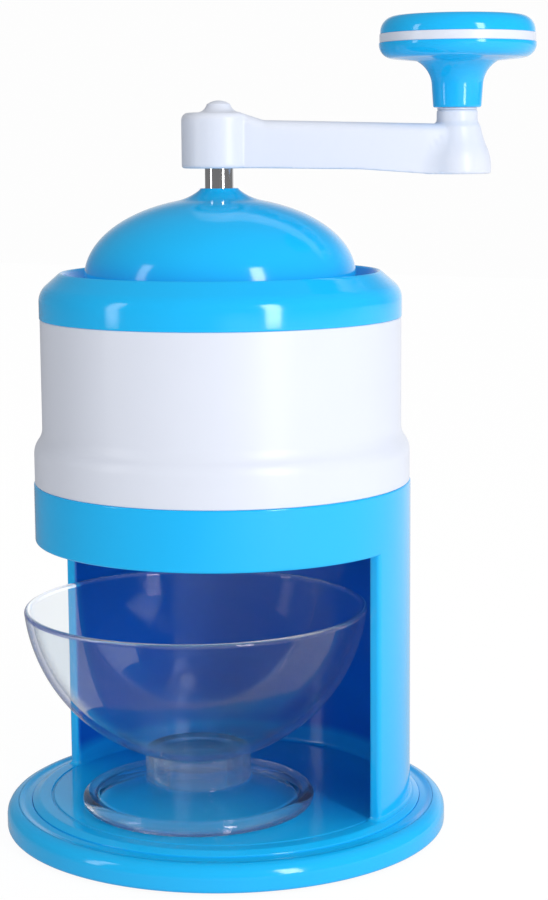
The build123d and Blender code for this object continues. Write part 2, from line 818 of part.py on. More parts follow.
# ------------------------------------------------------------------ press plate with its spikes
press_bottom = shaft_bottom + 2 * seat_gap
press_top = press_bottom + press_thickness
spike_rings = ((22.0, 3, 30.0), (36.0, 6, 0.0))  # radius, number and first angle
spike_root = press_top - 0.6
with BuildPart() as press_plate:
    with BuildSketch(Plane.XY.offset(press_bottom)):
        Circle(press_radius)
    extrude(amount=press_thickness)
    with BuildSketch(Plane.XY.offset(press_top)):
        Circle(press_radius)
        Circle(press_radius - press_rim_wall, mode=Mode.SUBTRACT)
        with PolarLocations(radius=(press_radius + press_cup_radius) / 2, count=press_rib_count):
            Rectangle(press_radius - press_cup_radius - 1, press_rim_wall)
        with BuildSketch(mode=Mode.PRIVATE) as cup_plan:
            Circle(press_cup_radius + press_cup_wall)
            Circle(press_cup_radius, mode=Mode.SUBTRACT)
        add(cup_plan.sketch)
    extrude(amount=press_rib_height)
    with BuildSketch(Plane.XY.offset(press_bottom)):
        Circle(press_hub_radius)
    extrude(amount=press_hub_height)
    with BuildSketch(Plane.XY.offset(press_bottom)):
        RegularPolygon(radius=press_bore_hex / 2, side_count=6, major_radius=False)
    extrude(amount=press_hub_height, mode=Mode.SUBTRACT)
    for ring_radius, spike_count, first_angle in spike_rings:
        with BuildSketch(Plane.XY.offset(press_bottom)):
            with PolarLocations(ring_radius, spike_count, start_angle=first_angle):
                Circle(spike_radius + 0.02)
        extrude(amount=spike_root - press_bottom, mode=Mode.SUBTRACT)
write(press_plate, "press_plate")

with BuildPart() as spike:
    with BuildSketch(Plane.XZ):
        with BuildLine():
            Polyline(
                (0, -spike_drop),
                (spike_radius, spike_point - spike_drop),
                (spike_radius, spike_root - press_bottom),
                (0, spike_root - press_bottom),
                close=True,
            )
        make_face()
    revolve(axis=Axis.Z)
with BuildPart() as ice_spikes:
    for ring_radius, spike_count, first_angle in spike_rings:
        with Locations((0, 0, press_bottom)):
            with PolarLocations(ring_radius, spike_count, start_angle=first_angle):
                add(spike.part)
write(ice_spikes, "ice_spikes")

# ------------------------------------------------------------------ feed spring: one wire, closed at both ends
spring_start_z = press_top + spring_wire + 0.02
spring_rise = seat_bottom - spring_wire - 0.02 - spring_start_z
close_rise = 2 * spring_close_coils * spring_close_pitch
open_pitch = (spring_rise - close_rise) / spring_open_coils
half_turn_rises = (
    [spring_close_pitch / 2] * (2 * spring_close_coils)
    + [open_pitch / 2] * (2 * spring_open_coils)
    + [spring_close_pitch / 2] * (2 * spring_close_coils)
)
half_turn_heights = [spring_start_z + sum(half_turn_rises[:n]) for n in range(len(half_turn_rises) + 1)]


def spring_node(n):
    """Point of the spring's centre line after n half turns."""
    return Vector(spring_radius * cos(pi * n), spring_radius * sin(pi * n), half_turn_heights[n])


def spring_direction(n):
    """Direction of the centre line there, with the mean climb of the half turns beside it."""
    beside = half_turn_rises[max(n - 1, 0) : n + 1]
    climb = sum(beside) / len(beside) / (pi * spring_radius)
    return Vector(-sin(pi * n), cos(pi * n), climb).normalized()


def biarc_joint(start, start_direction, end, end_direction):
    """Point where two arcs meet that leave start and reach end in these directions."""
    chord = end - start
    both = start_direction + end_direction
    a = 2 * (start_direction.dot(end_direction) - 1)
    b = -2 * chord.dot(both)
    c = chord.dot(chord)
    reach = (-b - sqrt(b * b - 4 * a * c)) / (2 * a)
    return (start + end + (start_direction - end_direction) * reach) / 2


with BuildPart() as feed_spring:
    with BuildLine() as spring_line:
        for n in range(len(half_turn_rises)):
            turn_start, turn_end = spring_node(n), spring_node(n + 1)
            leaving, arriving = spring_direction(n), spring_direction(n + 1)
            joint = biarc_joint(turn_start, leaving, turn_end, arriving)
            first_arc = TangentArc(turn_start, joint, tangent=leaving)
            TangentArc(joint, turn_end, tangent=first_arc % 1)
    with BuildSketch(Plane(origin=spring_line.line @ 0, z_dir=spring_line.line % 0)):
        Circle(spring_wire)
    sweep(path=spring_line.line)
write(feed_spring, "feed_spring")

steps_per_turn = 24
spring_turns = len(half_turn_rises) / 2
step_count = int(steps_per_turn * spring_turns)
spring_points = [spring_line.line @ (step / step_count) for step in range(step_count + 1)]
least_gap = min(
    (spring_points[j] - spring_points[i]).length
    for i in range(step_count)
    for j in range(i + steps_per_turn // 2, min(i + 2 * steps_per_turn, step_count + 1))
)
print(f"feed spring: {spring_turns} turns, open pitch {open_pitch:.2f} mm")
print(f"feed spring: least gap to itself {least_gap - 2 * spring_wire:.2f} mm")

# ------------------------------------------------------------------ crank arm
arm_side = upright(crank_angle)
slope_length = hub_slope[1] - hub_slope[0]
with BuildPart() as crank_arm:
    # bar: its side view, trimmed to its plan, with the upper edges rounded
    with BuildSketch(arm_side):
        with BuildLine():
            Polyline(
                (0, hub_bottom),
                (hub_radius, hub_bottom),
                (crank_radius, arm_bottom_far),
                (crank_radius, arm_top_far),
                (hub_slope[1], arm_top_near),
                (hub_slope[0], hub_top),
                (0, hub_top),
                close=True,
            )
        make_face()
    extrude(amount=2 * arm_half_width_near, both=True)
    with BuildSketch(level(arm_bottom_far, crank_angle)):
        with BuildLine():
            Polyline(
                (0, -arm_half_width_near),
                (crank_radius, -arm_half_width_far),
                (crank_radius, arm_half_width_far),
                (0, arm_half_width_near),
                close=True,
            )
        make_face()
    extrude(amount=hub_top - arm_bottom_far, mode=Mode.INTERSECT)
    upper_edges = crank_arm.edges().filter_by(
        lambda edge: edge.length > slope_length - 0.1
        and arm_ceiling_z < edge.center().Z < hub_top - 0.1
        and abs(edge.tangent_at(0).dot(arm_side.x_dir)) > 0.8
    )
    fillet(upper_edges, radius=arm_round)
    # hub, rounded at its upper edge
    with BuildSketch(Plane.XY.offset(hub_bottom)):
        Circle(hub_radius)
    extrude(amount=hub_top - hub_bottom)
    fillet(crank_arm.edges().group_by(Axis.Z)[-1], radius=hub_round)
    # slope from the hub's top down to the bar
    with BuildSketch(arm_side):
        with BuildLine():
            Polyline(
                (hub_slope[0], hub_top),
                (hub_slope[1], arm_top_near),
                (hub_slope[1], hub_top + 1),
                (hub_slope[0], hub_top + 1),
                close=True,
            )
        make_face()
    extrude(amount=hub_radius, both=True, mode=Mode.SUBTRACT)
    # far end: a flared foot that draws in to the pin's boss
    with BuildSketch(upright(crank_angle, knob_centre)):
        with BuildLine():
            Polyline(
                (0, arm_foot_bottom),
                (arm_foot_radius - 0.6, arm_foot_bottom),
                (arm_foot_radius, arm_foot_bottom + 0.8),
                (arm_foot_radius, arm_foot_bottom + 2),
            )
            foot_curve = TangentArc(
                (arm_foot_radius, arm_foot_bottom + 2),
                (arm_foot_radius - 1.5, arm_foot_bottom + 8.6),
                tangent=(0, 1),
            )
            TangentArc(
                foot_curve @ 1, (pin_boss_radius, arm_top_far + 1.6), tangent=foot_curve % 1
            )
            Polyline(
                (pin_boss_radius, arm_top_far + 1.6),
                (pin_boss_radius, pin_boss_top),
                (0, pin_boss_top),
                (0, arm_foot_bottom),
            )
        make_face()
    revolve(axis=knob_axis)
    # hollow underside: the bar's channel, and a ring round each boss
    with BuildSketch(level(arm_foot_bottom, crank_angle)):
        with BuildLine():
            Polyline(
                (0, wall - arm_half_width_near),
                (crank_radius - 8, wall - arm_half_width_far),
                (crank_radius - 8, arm_half_width_far - wall),
                (0, arm_half_width_near - wall),
                close=True,
            )
        make_face()
        Circle(hub_radius, mode=Mode.SUBTRACT)
    extrude(amount=arm_ceiling_z - arm_foot_bottom, mode=Mode.SUBTRACT)
    with BuildSketch(Plane.XY.offset(hub_bottom)):
        Circle(hub_radius - wall)
        Circle(hub_boss_radius, mode=Mode.SUBTRACT)
    extrude(amount=arm_ceiling_z - hub_bottom, mode=Mode.SUBTRACT)
    with BuildSketch(upright(crank_angle, knob_centre)):
        with BuildLine():
            Polyline(
                (pin_boss_radius - 1, arm_foot_bottom),
                (arm_foot_radius - wall, arm_foot_bottom),
                (arm_foot_radius - wall - 1.3, hub_bottom + 6),
                (pin_boss_radius - 1, hub_bottom + 8),
                close=True,
            )
        make_face()
    revolve(axis=knob_axis, mode=Mode.SUBTRACT)
    # cross ribs in the channel
    with BuildSketch(level(hub_bottom + 1.5, crank_angle)):
        with Locations(*[(hub_radius + arm_rib_pitch * (n + 1), 0) for n in range(arm_rib_count)]):
            Rectangle(arm_rib_thickness, 2 * arm_half_width_far - wall)
    extrude(amount=arm_ceiling_z - hub_bottom - 1)
    # socket with two flats, screw hole, recess for the screw's head, and the pin's thread
    with BuildSketch(level(hub_bottom, crank_angle)):
        Circle(shaft_radius + 0.05)
        Rectangle(3 * shaft_radius, shaft_flats + 0.1, mode=Mode.INTERSECT)
    extrude(amount=shaft_top - hub_bottom + 0.2, mode=Mode.SUBTRACT)
    with BuildSketch(Plane.XY.offset(shaft_top)):
        Circle(1.9)
    extrude(amount=crank_screw_seat_z - shaft_top, mode=Mode.SUBTRACT)
    with BuildSketch(Plane.XY.offset(crank_screw_seat_z)):
        Circle(hub_recess_radius)
    extrude(amount=hub_top - crank_screw_seat_z, mode=Mode.SUBTRACT)
    with BuildSketch(level(hub_bottom + 2, centre=knob_centre)):
        Circle(pin_thread_radius + 0.05)
    extrude(amount=pin_boss_top - hub_bottom, mode=Mode.SUBTRACT)
write(crank_arm, "crank_arm")

with BuildPart() as crank_screw:
    with Locations(Location((0, 0, crank_screw_seat_z), (180, 0, 0))):
        add(pan_screw(3.7, 2.1, 1.5, 10.5))
write(crank_screw, "crank_screw")

with BuildPart() as hub_cap:
    with BuildSketch(Plane.XZ):
        with BuildLine():
            Polyline(
                (0, hub_top - 2),
                (hub_recess_radius - 0.1, hub_top - 2),
                (hub_recess_radius - 0.1, hub_top),
                (hub_cap_radius, hub_top),
                (hub_cap_radius, hub_top + 0.4),
            )
            TangentArc(
                (hub_cap_radius, hub_top + 0.4), (hub_bump_radius, hub_top + 2.5), tangent=(-1, 0)
            )
            domed_top(hub_bump_radius, hub_top + 2.5, hub_cap_top)
            Line((0, hub_cap_top), (0, hub_top - 2))
        make_face()
    revolve(axis=Axis.Z)
write(hub_cap, "hub_cap")

# ------------------------------------------------------------------ knob: pin, washer, grip, band and cap
knob_section = upright(crank_angle, knob_centre)
knob_bottom = pin_boss_top + knob_washer_thickness + 2 * seat_gap
knob_washer = flat_ring(pin_radius + 0.1, 6.2, pin_boss_top, knob_washer_thickness, knob_centre)
write(knob_washer, "knob_washer")

pin_head_z = knob_pin_seat_z + seat_gap
with BuildPart() as knob_pin:
    with BuildSketch(knob_section):
        with BuildLine():
            Polyline(
                (0, hub_bottom + 2.4),
                (pin_thread_radius - 0.5, hub_bottom + 2.4),
                (pin_thread_radius, hub_bottom + 2.9),
                (pin_thread_radius, pin_boss_top),
                (pin_radius, pin_boss_top),
                (pin_radius, pin_head_z),
                (pin_head[0], pin_head_z),
                (pin_head[0], pin_head_z + pin_head[1] - 0.6),
                (pin_head[0] - 0.6, pin_head_z + pin_head[1]),
                (0, pin_head_z + pin_head[1]),
                close=True,
            )
        make_face()
    revolve(axis=knob_axis)
write(knob_pin, "knob_pin")

under_inner = (knob_under_radii[0], knob_under_z - knob_under_rise)
under_outer = (knob_under_radii[1], knob_under_z)
with BuildPart() as knob_grip:
    with BuildSketch(knob_section):
        with BuildLine():
            Polyline(
                (pin_radius + running_gap, knob_bottom),
                (knob_stem_radii[0] - 0.5, knob_bottom),
                (knob_stem_radii[0], knob_bottom + 0.5),
            )
            stem = Line(
                (knob_stem_radii[0], knob_bottom + 0.5), (knob_stem_radii[1], knob_stem_top)
            )
            TangentArc((knob_stem_radii[1], knob_stem_top), under_inner, tangent=stem % 1)
            underside = Line(under_inner, under_outer)
            TangentArc(under_outer, (knob_radius, knob_band_bottom), tangent=underside % 1)
            Polyline(
                (knob_radius, knob_band_bottom),
                (knob_pocket_radius, knob_band_bottom),
                (knob_pocket_radius, knob_pocket_floor),
                (knob_pin_pocket, knob_pocket_floor),
                (knob_pin_pocket, knob_pin_seat_z),
                (pin_radius + running_gap, knob_pin_seat_z),
                (pin_radius + running_gap, knob_bottom),
            )
        make_face()
    revolve(axis=knob_axis)
write(knob_grip, "knob_grip")

band_radius = knob_radius - 0.2
band_inner = knob_pocket_radius - 1.8
with BuildPart() as knob_band:
    with BuildSketch(knob_section):
        with BuildLine():
            Polyline(
                (band_inner, knob_pocket_floor + 0.2),
                (knob_pocket_radius - 0.1, knob_pocket_floor + 0.2),
                (knob_pocket_radius - 0.1, knob_band_bottom),
                (band_radius, knob_band_bottom),
                (band_radius, knob_band_top),
                (knob_pocket_radius - 0.1, knob_band_top),
                (knob_pocket_radius - 0.1, knob_band_top + 1.6),
                (band_inner, knob_band_top + 1.6),
                close=True,
            )
        make_face()
    revolve(axis=knob_axis)
write(knob_band, "knob_band")

cap_top_radius = knob_radius - 0.4
with BuildPart() as knob_cap:
    with BuildSketch(knob_section):
        with BuildLine():
            Line((cap_top_radius, knob_band_top), (cap_top_radius, knob_band_top + 0.7))
            TangentArc(
                (cap_top_radius, knob_band_top + 0.7),
                (knob_crown_radius, knob_top - knob_crown_rise),
                tangent=(0, 1),
            )
            domed_top(knob_crown_radius, knob_top - knob_crown_rise, knob_top)
            Polyline(
                (0, knob_top),
                (0, knob_top - wall),
                (17.8, knob_top - wall - 0.5),
                (knob_pocket_radius, knob_band_top + 1.8),
                (knob_pocket_radius, knob_band_top),
                (cap_top_radius, knob_band_top),
            )
        make_face()
    revolve(axis=knob_axis)
write(knob_cap, "knob_cap")


# ------------------------------------------------------------------ bowl and its foot
def on_sphere(sphere_radius, radius):
    """Point of the bowl's sphere of this radius, this far from its axis."""
    return (radius, bowl_centre_z - sqrt(sphere_radius**2 - radius**2))


def sphere_arc(sphere_radius, first, last):
    """Arc of the bowl's section from one distance off its axis to another."""
    middle = (first + last) / 2
    ThreePointArc(
        on_sphere(sphere_radius, first),
        on_sphere(sphere_radius, middle),
        on_sphere(sphere_radius, last),
    )


bowl_section = upright(0, bowl_centre)
inside_radius = bowl_sphere_radius - bowl_wall
rim_height = bowl_centre_z - bowl_rim_z + bowl_wall / 2
rim_outside = sqrt(bowl_sphere_radius**2 - rim_height**2)
rim_inside = sqrt(inside_radius**2 - rim_height**2)
plug_radius = bowl_stem_radius - bowl_stem_wall - 0.1
plug_inside = plug_radius - bowl_wall
plug_bottom = bowl_stem_bottom + 4.8
with BuildPart() as ice_bowl:
    with BuildSketch(bowl_section):
        with BuildLine():
            sphere_arc(inside_radius, 0, rim_inside)
            ThreePointArc(
                on_sphere(inside_radius, rim_inside),
                ((rim_inside + rim_outside) / 2, bowl_rim_z),
                on_sphere(bowl_sphere_radius, rim_outside),
            )
            sphere_arc(bowl_sphere_radius, rim_outside, plug_radius)
            Polyline(
                on_sphere(bowl_sphere_radius, plug_radius),
                (plug_radius, plug_bottom),
                (plug_inside, plug_bottom),
                on_sphere(bowl_sphere_radius, plug_inside),
            )
            sphere_arc(bowl_sphere_radius, plug_inside, 0)
            Line(on_sphere(bowl_sphere_radius, 0), on_sphere(inside_radius, 0))
        make_face()
    revolve(axis=bowl_axis)
write(ice_bowl, "ice_bowl")

stem_top_outside = on_sphere(bowl_sphere_radius + seat_gap, bowl_stem_radius)
stem_top_inside = on_sphere(bowl_sphere_radius + seat_gap, bowl_stem_radius - bowl_stem_wall)
bead_x = bowl_foot_radius - bowl_bead_radius
bead_z = floor_top + bowl_bead_radius
disc_top_z = 18.7
with BuildPart() as bowl_foot:
    with BuildSketch(bowl_section):
        with BuildLine():
            Polyline(
                (0, disc_top_z),
                (bowl_stem_radius - bowl_stem_wall, disc_top_z),
                stem_top_inside,
                stem_top_outside,
                (bowl_stem_radius, bowl_stem_bottom),
            )
            root = TangentArc(
                (bowl_stem_radius, bowl_stem_bottom), (18.2, disc_top_z - 0.2), tangent=(0, -1)
            )
            Line(root @ 1, (bead_x - bowl_bead_radius + 0.3, bead_z + 1.4))
            ThreePointArc(
                (bead_x - bowl_bead_radius + 0.3, bead_z + 1.4),
                (bead_x, bead_z + bowl_bead_radius),
                (bowl_foot_radius, bead_z),
            )
            TangentArc((bowl_foot_radius, bead_z), (bead_x, floor_top), tangent=(0, -1))
            Polyline(
                (bead_x, floor_top),
                (bead_x - bowl_bead_radius, floor_top),
                (bead_x - bowl_bead_radius - 1, floor_top + 1.9),
                (bowl_stem_radius, disc_top_z - 2.6),
                (0, disc_top_z - wall),
                (0, disc_top_z),
            )
        make_face()
    revolve(axis=bowl_axis)
write(bowl_foot, "bowl_foot")
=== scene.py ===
"""Dresses a hand cranked ice shaver: smooth mouldings, fittings, materials and a plain stage.

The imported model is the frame, and every piece made here rides on one of its bodies. Shapes are drawn in
millimetres, in the frame's own axes (Z up along the shaft, -Y to the open front of the stand), and become
metres where a mesh is made. Outlines that turn about an upright axis are lists of (radius, height, rounding).
"""

import json
import math

import bmesh
import bpy
import numpy as np
from bpy.props import FloatProperty, FloatVectorProperty, IntProperty, PointerProperty
from bpy.types import Operator, Panel, PropertyGroup
from mathutils import Euler, Matrix, Vector


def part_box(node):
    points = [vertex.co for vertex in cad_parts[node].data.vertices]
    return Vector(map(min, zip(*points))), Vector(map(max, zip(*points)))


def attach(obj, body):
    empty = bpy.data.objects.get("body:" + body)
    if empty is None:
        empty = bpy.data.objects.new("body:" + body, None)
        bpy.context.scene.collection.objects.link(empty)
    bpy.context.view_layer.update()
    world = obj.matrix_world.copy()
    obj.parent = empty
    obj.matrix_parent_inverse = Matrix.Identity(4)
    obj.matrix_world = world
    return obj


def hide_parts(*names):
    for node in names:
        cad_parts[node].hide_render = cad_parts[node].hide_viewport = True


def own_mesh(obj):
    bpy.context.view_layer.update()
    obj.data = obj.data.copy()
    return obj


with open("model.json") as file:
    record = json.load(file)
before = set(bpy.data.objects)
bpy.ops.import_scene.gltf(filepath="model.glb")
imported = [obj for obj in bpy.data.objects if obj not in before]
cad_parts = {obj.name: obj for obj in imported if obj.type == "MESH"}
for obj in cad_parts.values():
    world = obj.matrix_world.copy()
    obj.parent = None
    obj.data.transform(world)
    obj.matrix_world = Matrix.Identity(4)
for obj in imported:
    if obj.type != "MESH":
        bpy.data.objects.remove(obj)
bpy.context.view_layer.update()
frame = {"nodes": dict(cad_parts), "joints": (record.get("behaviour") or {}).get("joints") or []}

bl_info = {
    "name": "Ice Shaver",
    "version": (1, 0, 0),
    "blender": (4, 5, 0),
    "location": "3D View > Sidebar > Ice Shaver",
    "description": "Dresses a hand cranked ice shaver with smooth mouldings, fittings and materials",
    "category": "Add Mesh",
}

MM = 0.001

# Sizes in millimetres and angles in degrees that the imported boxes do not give. A height is above the table.
FOOT_SCREW_CIRCLE = 40.0
FOOT_SCREW_ANGLES = 22.5 + 90 * np.arange(4)
FOOT_SCREW_SEAT = 2.7
FLOOR_UNDERSIDE = 8.5
FLOOR_TOP = 11.0
GROOVE_DEPTH = 0.35
COLUMN_FRONT = -5.0  # the Y of its front edges
COLLAR_BOTTOM = 94.9
DECK_TOP = 98.0
COLLAR_BORE = 56.2
KEY_ANGLES = (90, 210, 330)
KEY_HALF_WIDTH = 3.7
KEY_DEPTH = 1.5
KEY_SLOT_DEPTH = 1.8
BARREL_RADIUS = 57.0
BARREL_BORE = 53.4
SPIGOT_RADIUS = 55.9
LID_KEY_ANGLES = (30, 150, 270)
LID_SPIGOT_RADIUS = 53.1
CAP_CEILING = 173.2
CAP_FLOOR = 175.6
DOME_RADIUS = 42.8
DOME_CENTRE = 178.2
DOME_RISE = 24.8
HUB_RADIUS = 11.7
HUB_BOTTOM = 211.8
HUB_TOP = 229.0
HUB_SLOPE = (6.5, 14.0)  # where it starts and ends, out from the shaft
HUB_SCREW_SEAT = 224.6
BAR_TOP = (226.5, 224.9)  # at the slope's end and at the pin
BAR_HALF_WIDTH = (9.0, 7.4)  # at the shaft and at the pin
BAR_CEILING = 222.3
LEG_CIRCLE = 8.4
PIN_BOSS = 6.4
BOWL_SPHERE = 54.4
BOWL_CENTRE = 80.6  # height of the sphere's centre
BOWL_WALL = 2.0
FOOT_DISC_TOP = 18.7
FOOT_BEAD_INSIDE = 31.2
# Painted shade: inside this radius the stand's colour turns a deeper blue that stands in for the shade of its
# hollow, and behind the axis it shows by a share.
PAINTED_SHADE_EDGE = 57.0  # where the hollow's deep blue has faded out
PAINTED_SHADE_BEHIND = 0.6
BLADE_TILT = 30
BLADE_SCREW_LINE = 9.5
BLADE_SCREW_DEPTH = 1.2
BLADE_GROUND = (105.6, 106.2)  # heights between which its ground band begins
SPRING_SEAT_WEB = 1.0
PLATE_WEB = 3.0


class Extent:
    """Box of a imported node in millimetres: centre in plan, half width, and lowest and highest points."""

    def __init__(self, node):
        low, high = (np.array(corner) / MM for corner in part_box(node))
        self.centre = (low[:2] + high[:2]) / 2
        self.radius = (high[0] - low[0]) / 2
        self.bottom = low[2]
        self.top = high[2]


foot = Extent("base_foot")
stand = Extent("stand")
barrel = Extent("barrel")
cap_ring = Extent("cap_ring")
dome = Extent("dome")
arm = Extent("crank_arm")
hub_cap = Extent("hub_cap")
grip = Extent("knob_grip")
band = Extent("knob_band")
knob_top = Extent("knob_cap")
bowl = Extent("ice_bowl")
bowl_foot = Extent("bowl_foot")
press_plate = Extent("press_plate")
spring_seat = Extent("spring_seat")
shaft = Extent("drive_shaft")
crank_turn = math.atan2(grip.centre[1], grip.centre[0])
crank_reach = float(np.hypot(*grip.centre))


# ------------------------------------------------------------ settings
def length_setting(name, description, default):
    """Setting in metres."""
    return FloatProperty(name=name, description=description, default=default, unit="LENGTH")


def angle_setting(name, description, degrees):
    """Setting shown in degrees and kept in radians."""
    return FloatProperty(name=name, description=description, default=math.radians(degrees), subtype="ANGLE")


def share_setting(name, description, default):
    """Setting from 0 to 1."""
    limits = {"subtype": "FACTOR", "min": 0.0, "max": 1.0}
    return FloatProperty(name=name, description=description, default=default, **limits)


def colour_setting(name, description, *channels):
    """Colour setting of three channels."""
    return FloatVectorProperty(name=name, description=description, default=channels, subtype="COLOR")


class SHAVER_PG_forms(PropertyGroup):
    """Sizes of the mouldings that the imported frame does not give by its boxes."""

    segments: IntProperty(
        name="Segments", description="Facets round a turned moulding", default=160, min=24, max=400
    )
    corner_steps: IntProperty(
        name="Corner steps", description="Facets across a rounded corner", default=5, min=1, max=16
    )
    wall: length_setting("Wall", "Usual wall of the mouldings", 2.4 * MM)
    body_radius: length_setting("Body radius", "Outside of the collar and the column", 60 * MM)
    column_wall: length_setting("Column wall", "Wall of the half-round column", 4 * MM)
    fit_gap: length_setting("Fit gap", "Clearance between mouldings that lift apart", 0.3 * MM)
    arm_voxel: length_setting(
        "Arm detail", "Grain at which the crank arm's parts are melted together", 0.4 * MM
    )


class SHAVER_PG_fittings(PropertyGroup):
    """Sizes of the screws and the spring."""

    thread_pitch: length_setting("Thread pitch", "Rise of a screw's thread in one turn", 1.0 * MM)
    thread_depth: length_setting("Thread depth", "Depth of a screw's thread", 0.3 * MM)
    spring_radius: length_setting(
        "Spring radius", "From the shaft's axis to the middle of the wire", 10.5 * MM
    )
    spring_wire: length_setting("Wire radius", "Radius of the spring's wire", 0.7 * MM)
    open_coils: IntProperty(name="Open coils", description="Coils between the closed ends", default=7)


class SHAVER_PG_finishes(PropertyGroup):
    """Colours and gloss of the materials."""

    blue: colour_setting("Blue", "Blue mouldings", 0.010, 0.50, 1.0)
    # Painted shade: a deeper blue put into the colour of the stand's hollow column, where little light
    # reaches.
    painted_shade_blue: colour_setting(
        "Deep blue", "Blue of the hollow column, which little light reaches", 0.004, 0.115, 0.58
    )
    white: colour_setting("White", "White mouldings", 0.76, 0.80, 0.91)
    inner: colour_setting("Inner", "Mouldings inside the barrel", 0.74, 0.75, 0.77)
    clear: colour_setting("Clear", "Tint of the clear bowl", 0.97, 0.99, 1.0)
    steel: colour_setting("Steel", "Steel fittings", 0.62, 0.63, 0.65)
    polished: colour_setting("Polished steel", "Drive shaft", 0.78, 0.78, 0.80)
    rubber: colour_setting("Rubber", "Non-slip ring", 0.10, 0.11, 0.13)
    gloss: share_setting("Roughness", "Roughness of the glossy mouldings", 0.11)


class SHAVER_PG_stage(PropertyGroup):
    """Camera, lamps and backdrop."""

    camera_turn: angle_setting("Camera turn", "Turn of the view about the shaft, from straight ahead", 31.5)
    camera_tilt: angle_setting("Camera tilt", "How far the camera looks down", 8.55)
    camera_roll: angle_setting("Camera roll", "Turn about the line of sight", -0.43)
    camera_distance: length_setting("Camera distance", "From the shaft's axis", 0.642)
    camera_side: length_setting("Camera side step", "To the right of the shaft's axis", 0.0165)
    camera_height: length_setting("Camera height", "Above the table", 0.219)
    lens: FloatProperty(
        name="Lens", description="Focal length in millimetres, on a 36 mm sensor", default=81.28
    )
    key_power: FloatProperty(name="Key power", description="Softbox on the right, in watts", default=4.2)
    fill_power: FloatProperty(name="Fill power", description="Softbox on the left, in watts", default=1.2)
    sky: FloatProperty(name="Sky", description="Soft light from all sides", default=0.82)
    left_sky: share_setting("Left sky", "Share of the sky's light that comes from the left", 0.33)
    room: share_setting("Room", "What gloss shows of the room behind the camera", 0.2)
    glow: share_setting("Floor glow", "Share of the floor's white that no shadow touches", 0.92)


# ------------------------------------------------------------ outlines
def full_circle(count):
    """This many even angles round a circle."""
    return np.linspace(0, 2 * np.pi, count, endpoint=False)


def smooth_step(value):
    """0 below 0, 1 above 1, and 3 t^2 - 2 t^3 between."""
    value = np.clip(value, 0, 1)
    return value**2 * (3 - 2 * value)


def lengths(rows):
    """Length of each row, kept off zero so that it can divide."""
    return np.maximum(np.linalg.norm(rows, axis=1, keepdims=True), 1e-9)


def points(*corners):
    """Rows of (across, up, rounding) from corners of two or three numbers. A missing rounding is none."""
    return np.array([(*corner, 0.0)[:3] for corner in corners], float)


def arc(centre, radii, start, end, steps=24):
    """Rows along an ellipse: centre + (rx cos t, rz sin t), with t in degrees from start to end."""
    turn = np.radians(np.linspace(start, end, steps + 1))
    rx, rz = radii
    return np.column_stack([centre[0] + rx * np.cos(turn), centre[1] + rz * np.sin(turn), 0 * turn])


def bend(start, end, heading, steps=12):
    """Rows along the circle that leaves start in this heading and reaches end.

    The circle turns by twice the angle between the heading and the chord. Its centre lies square to the
    heading, at chord squared / (2 chord . normal) from the start."""
    start, end, heading = (np.array(v, float)[:2] for v in (start, end, heading))
    chord = end - start
    normal = np.array([-heading[1], heading[0]]) / np.hypot(*heading)
    centre = start + normal * (chord @ chord) / (2 * (chord @ normal))
    across = heading[0] * chord[1] - heading[1] * chord[0]
    turn = 2 * np.arctan2(across, heading @ chord) * np.linspace(0, 1, steps + 1)
    spoke = start - centre
    x = centre[0] + spoke[0] * np.cos(turn) - spoke[1] * np.sin(turn)
    z = centre[1] + spoke[0] * np.sin(turn) + spoke[1] * np.cos(turn)
    return np.column_stack([x, z, 0 * turn])


def rounded(*parts, support=0.25):
    """Outline through corners of (across, up) or (across, up, rounding), each rounded one cut by an arc.

    A part is one corner or a ready row of them, such as an arc.
    With a and b the unit vectors from a corner to its neighbours and w the angle between them, the arc
    starts radius / tan(w / 2) from the corner and is centred radius / sin(w / 2) along a + b. A support
    point is kept on either side, so that smooth shading leaves the straight runs flat."""
    rows = np.concatenate([points(part) if isinstance(part, tuple) else part for part in parts])
    rows = rows[np.r_[True, np.abs(np.diff(rows[:, :2], axis=0)).sum(1) > 1e-6]]
    corner, radius = rows[:, :2], rows[:, 2:]
    steps = bpy.context.scene.shaver_forms.corner_steps
    back, onward = np.roll(corner, 1, 0) - corner, np.roll(corner, -1, 0) - corner
    back_run, onward_run = lengths(back), lengths(onward)
    back, onward = back / back_run, onward / onward_run
    angle = np.arccos(np.clip((back * onward).sum(1, keepdims=True), -1, 1))
    angle = np.where(radius > 0, angle, np.pi / 2)
    reach = radius / np.tan(angle / 2)
    middle = back + onward
    middle = middle / lengths(middle)
    centre = corner + middle * radius / np.sin(angle / 2)
    turn, share = np.pi - angle, np.linspace(0, 1, steps + 1)[None, :, None]
    first, last = corner + back * reach - centre, corner + onward * reach - centre
    ends = [np.sin((1 - share) * turn[:, None]), np.sin(share * turn[:, None])]
    swept = (ends[0] * first[:, None] + ends[1] * last[:, None]) / np.sin(turn)[:, None]
    before = corner + back * np.minimum(reach + support, (reach + back_run) / 2)
    after = corner + onward * np.minimum(reach + support, (reach + onward_run) / 2)
    line = np.concatenate([before[:, None], centre[:, None] + swept, after[:, None]], axis=1)
    kept = np.broadcast_to(radius > 0, line.shape[:2]).copy()
    kept[:, 1] = True
    return line[kept]


# ------------------------------------------------------------ surfaces
def turn_angles(keys=(), half_width=0.0, radius=1.0):
    """Angles round a turned moulding, with a pair of close ones at both sides of each key or slot."""
    even = full_circle(bpy.context.scene.shaver_forms.segments)
    side = np.arcsin(half_width / radius)
    pairs = np.radians(np.array(keys, float))[:, None] + side * np.array([-1.001, -0.999, 0.999, 1.001])
    return np.unique(np.concatenate([even, np.mod(pairs, 2 * np.pi).ravel()]))


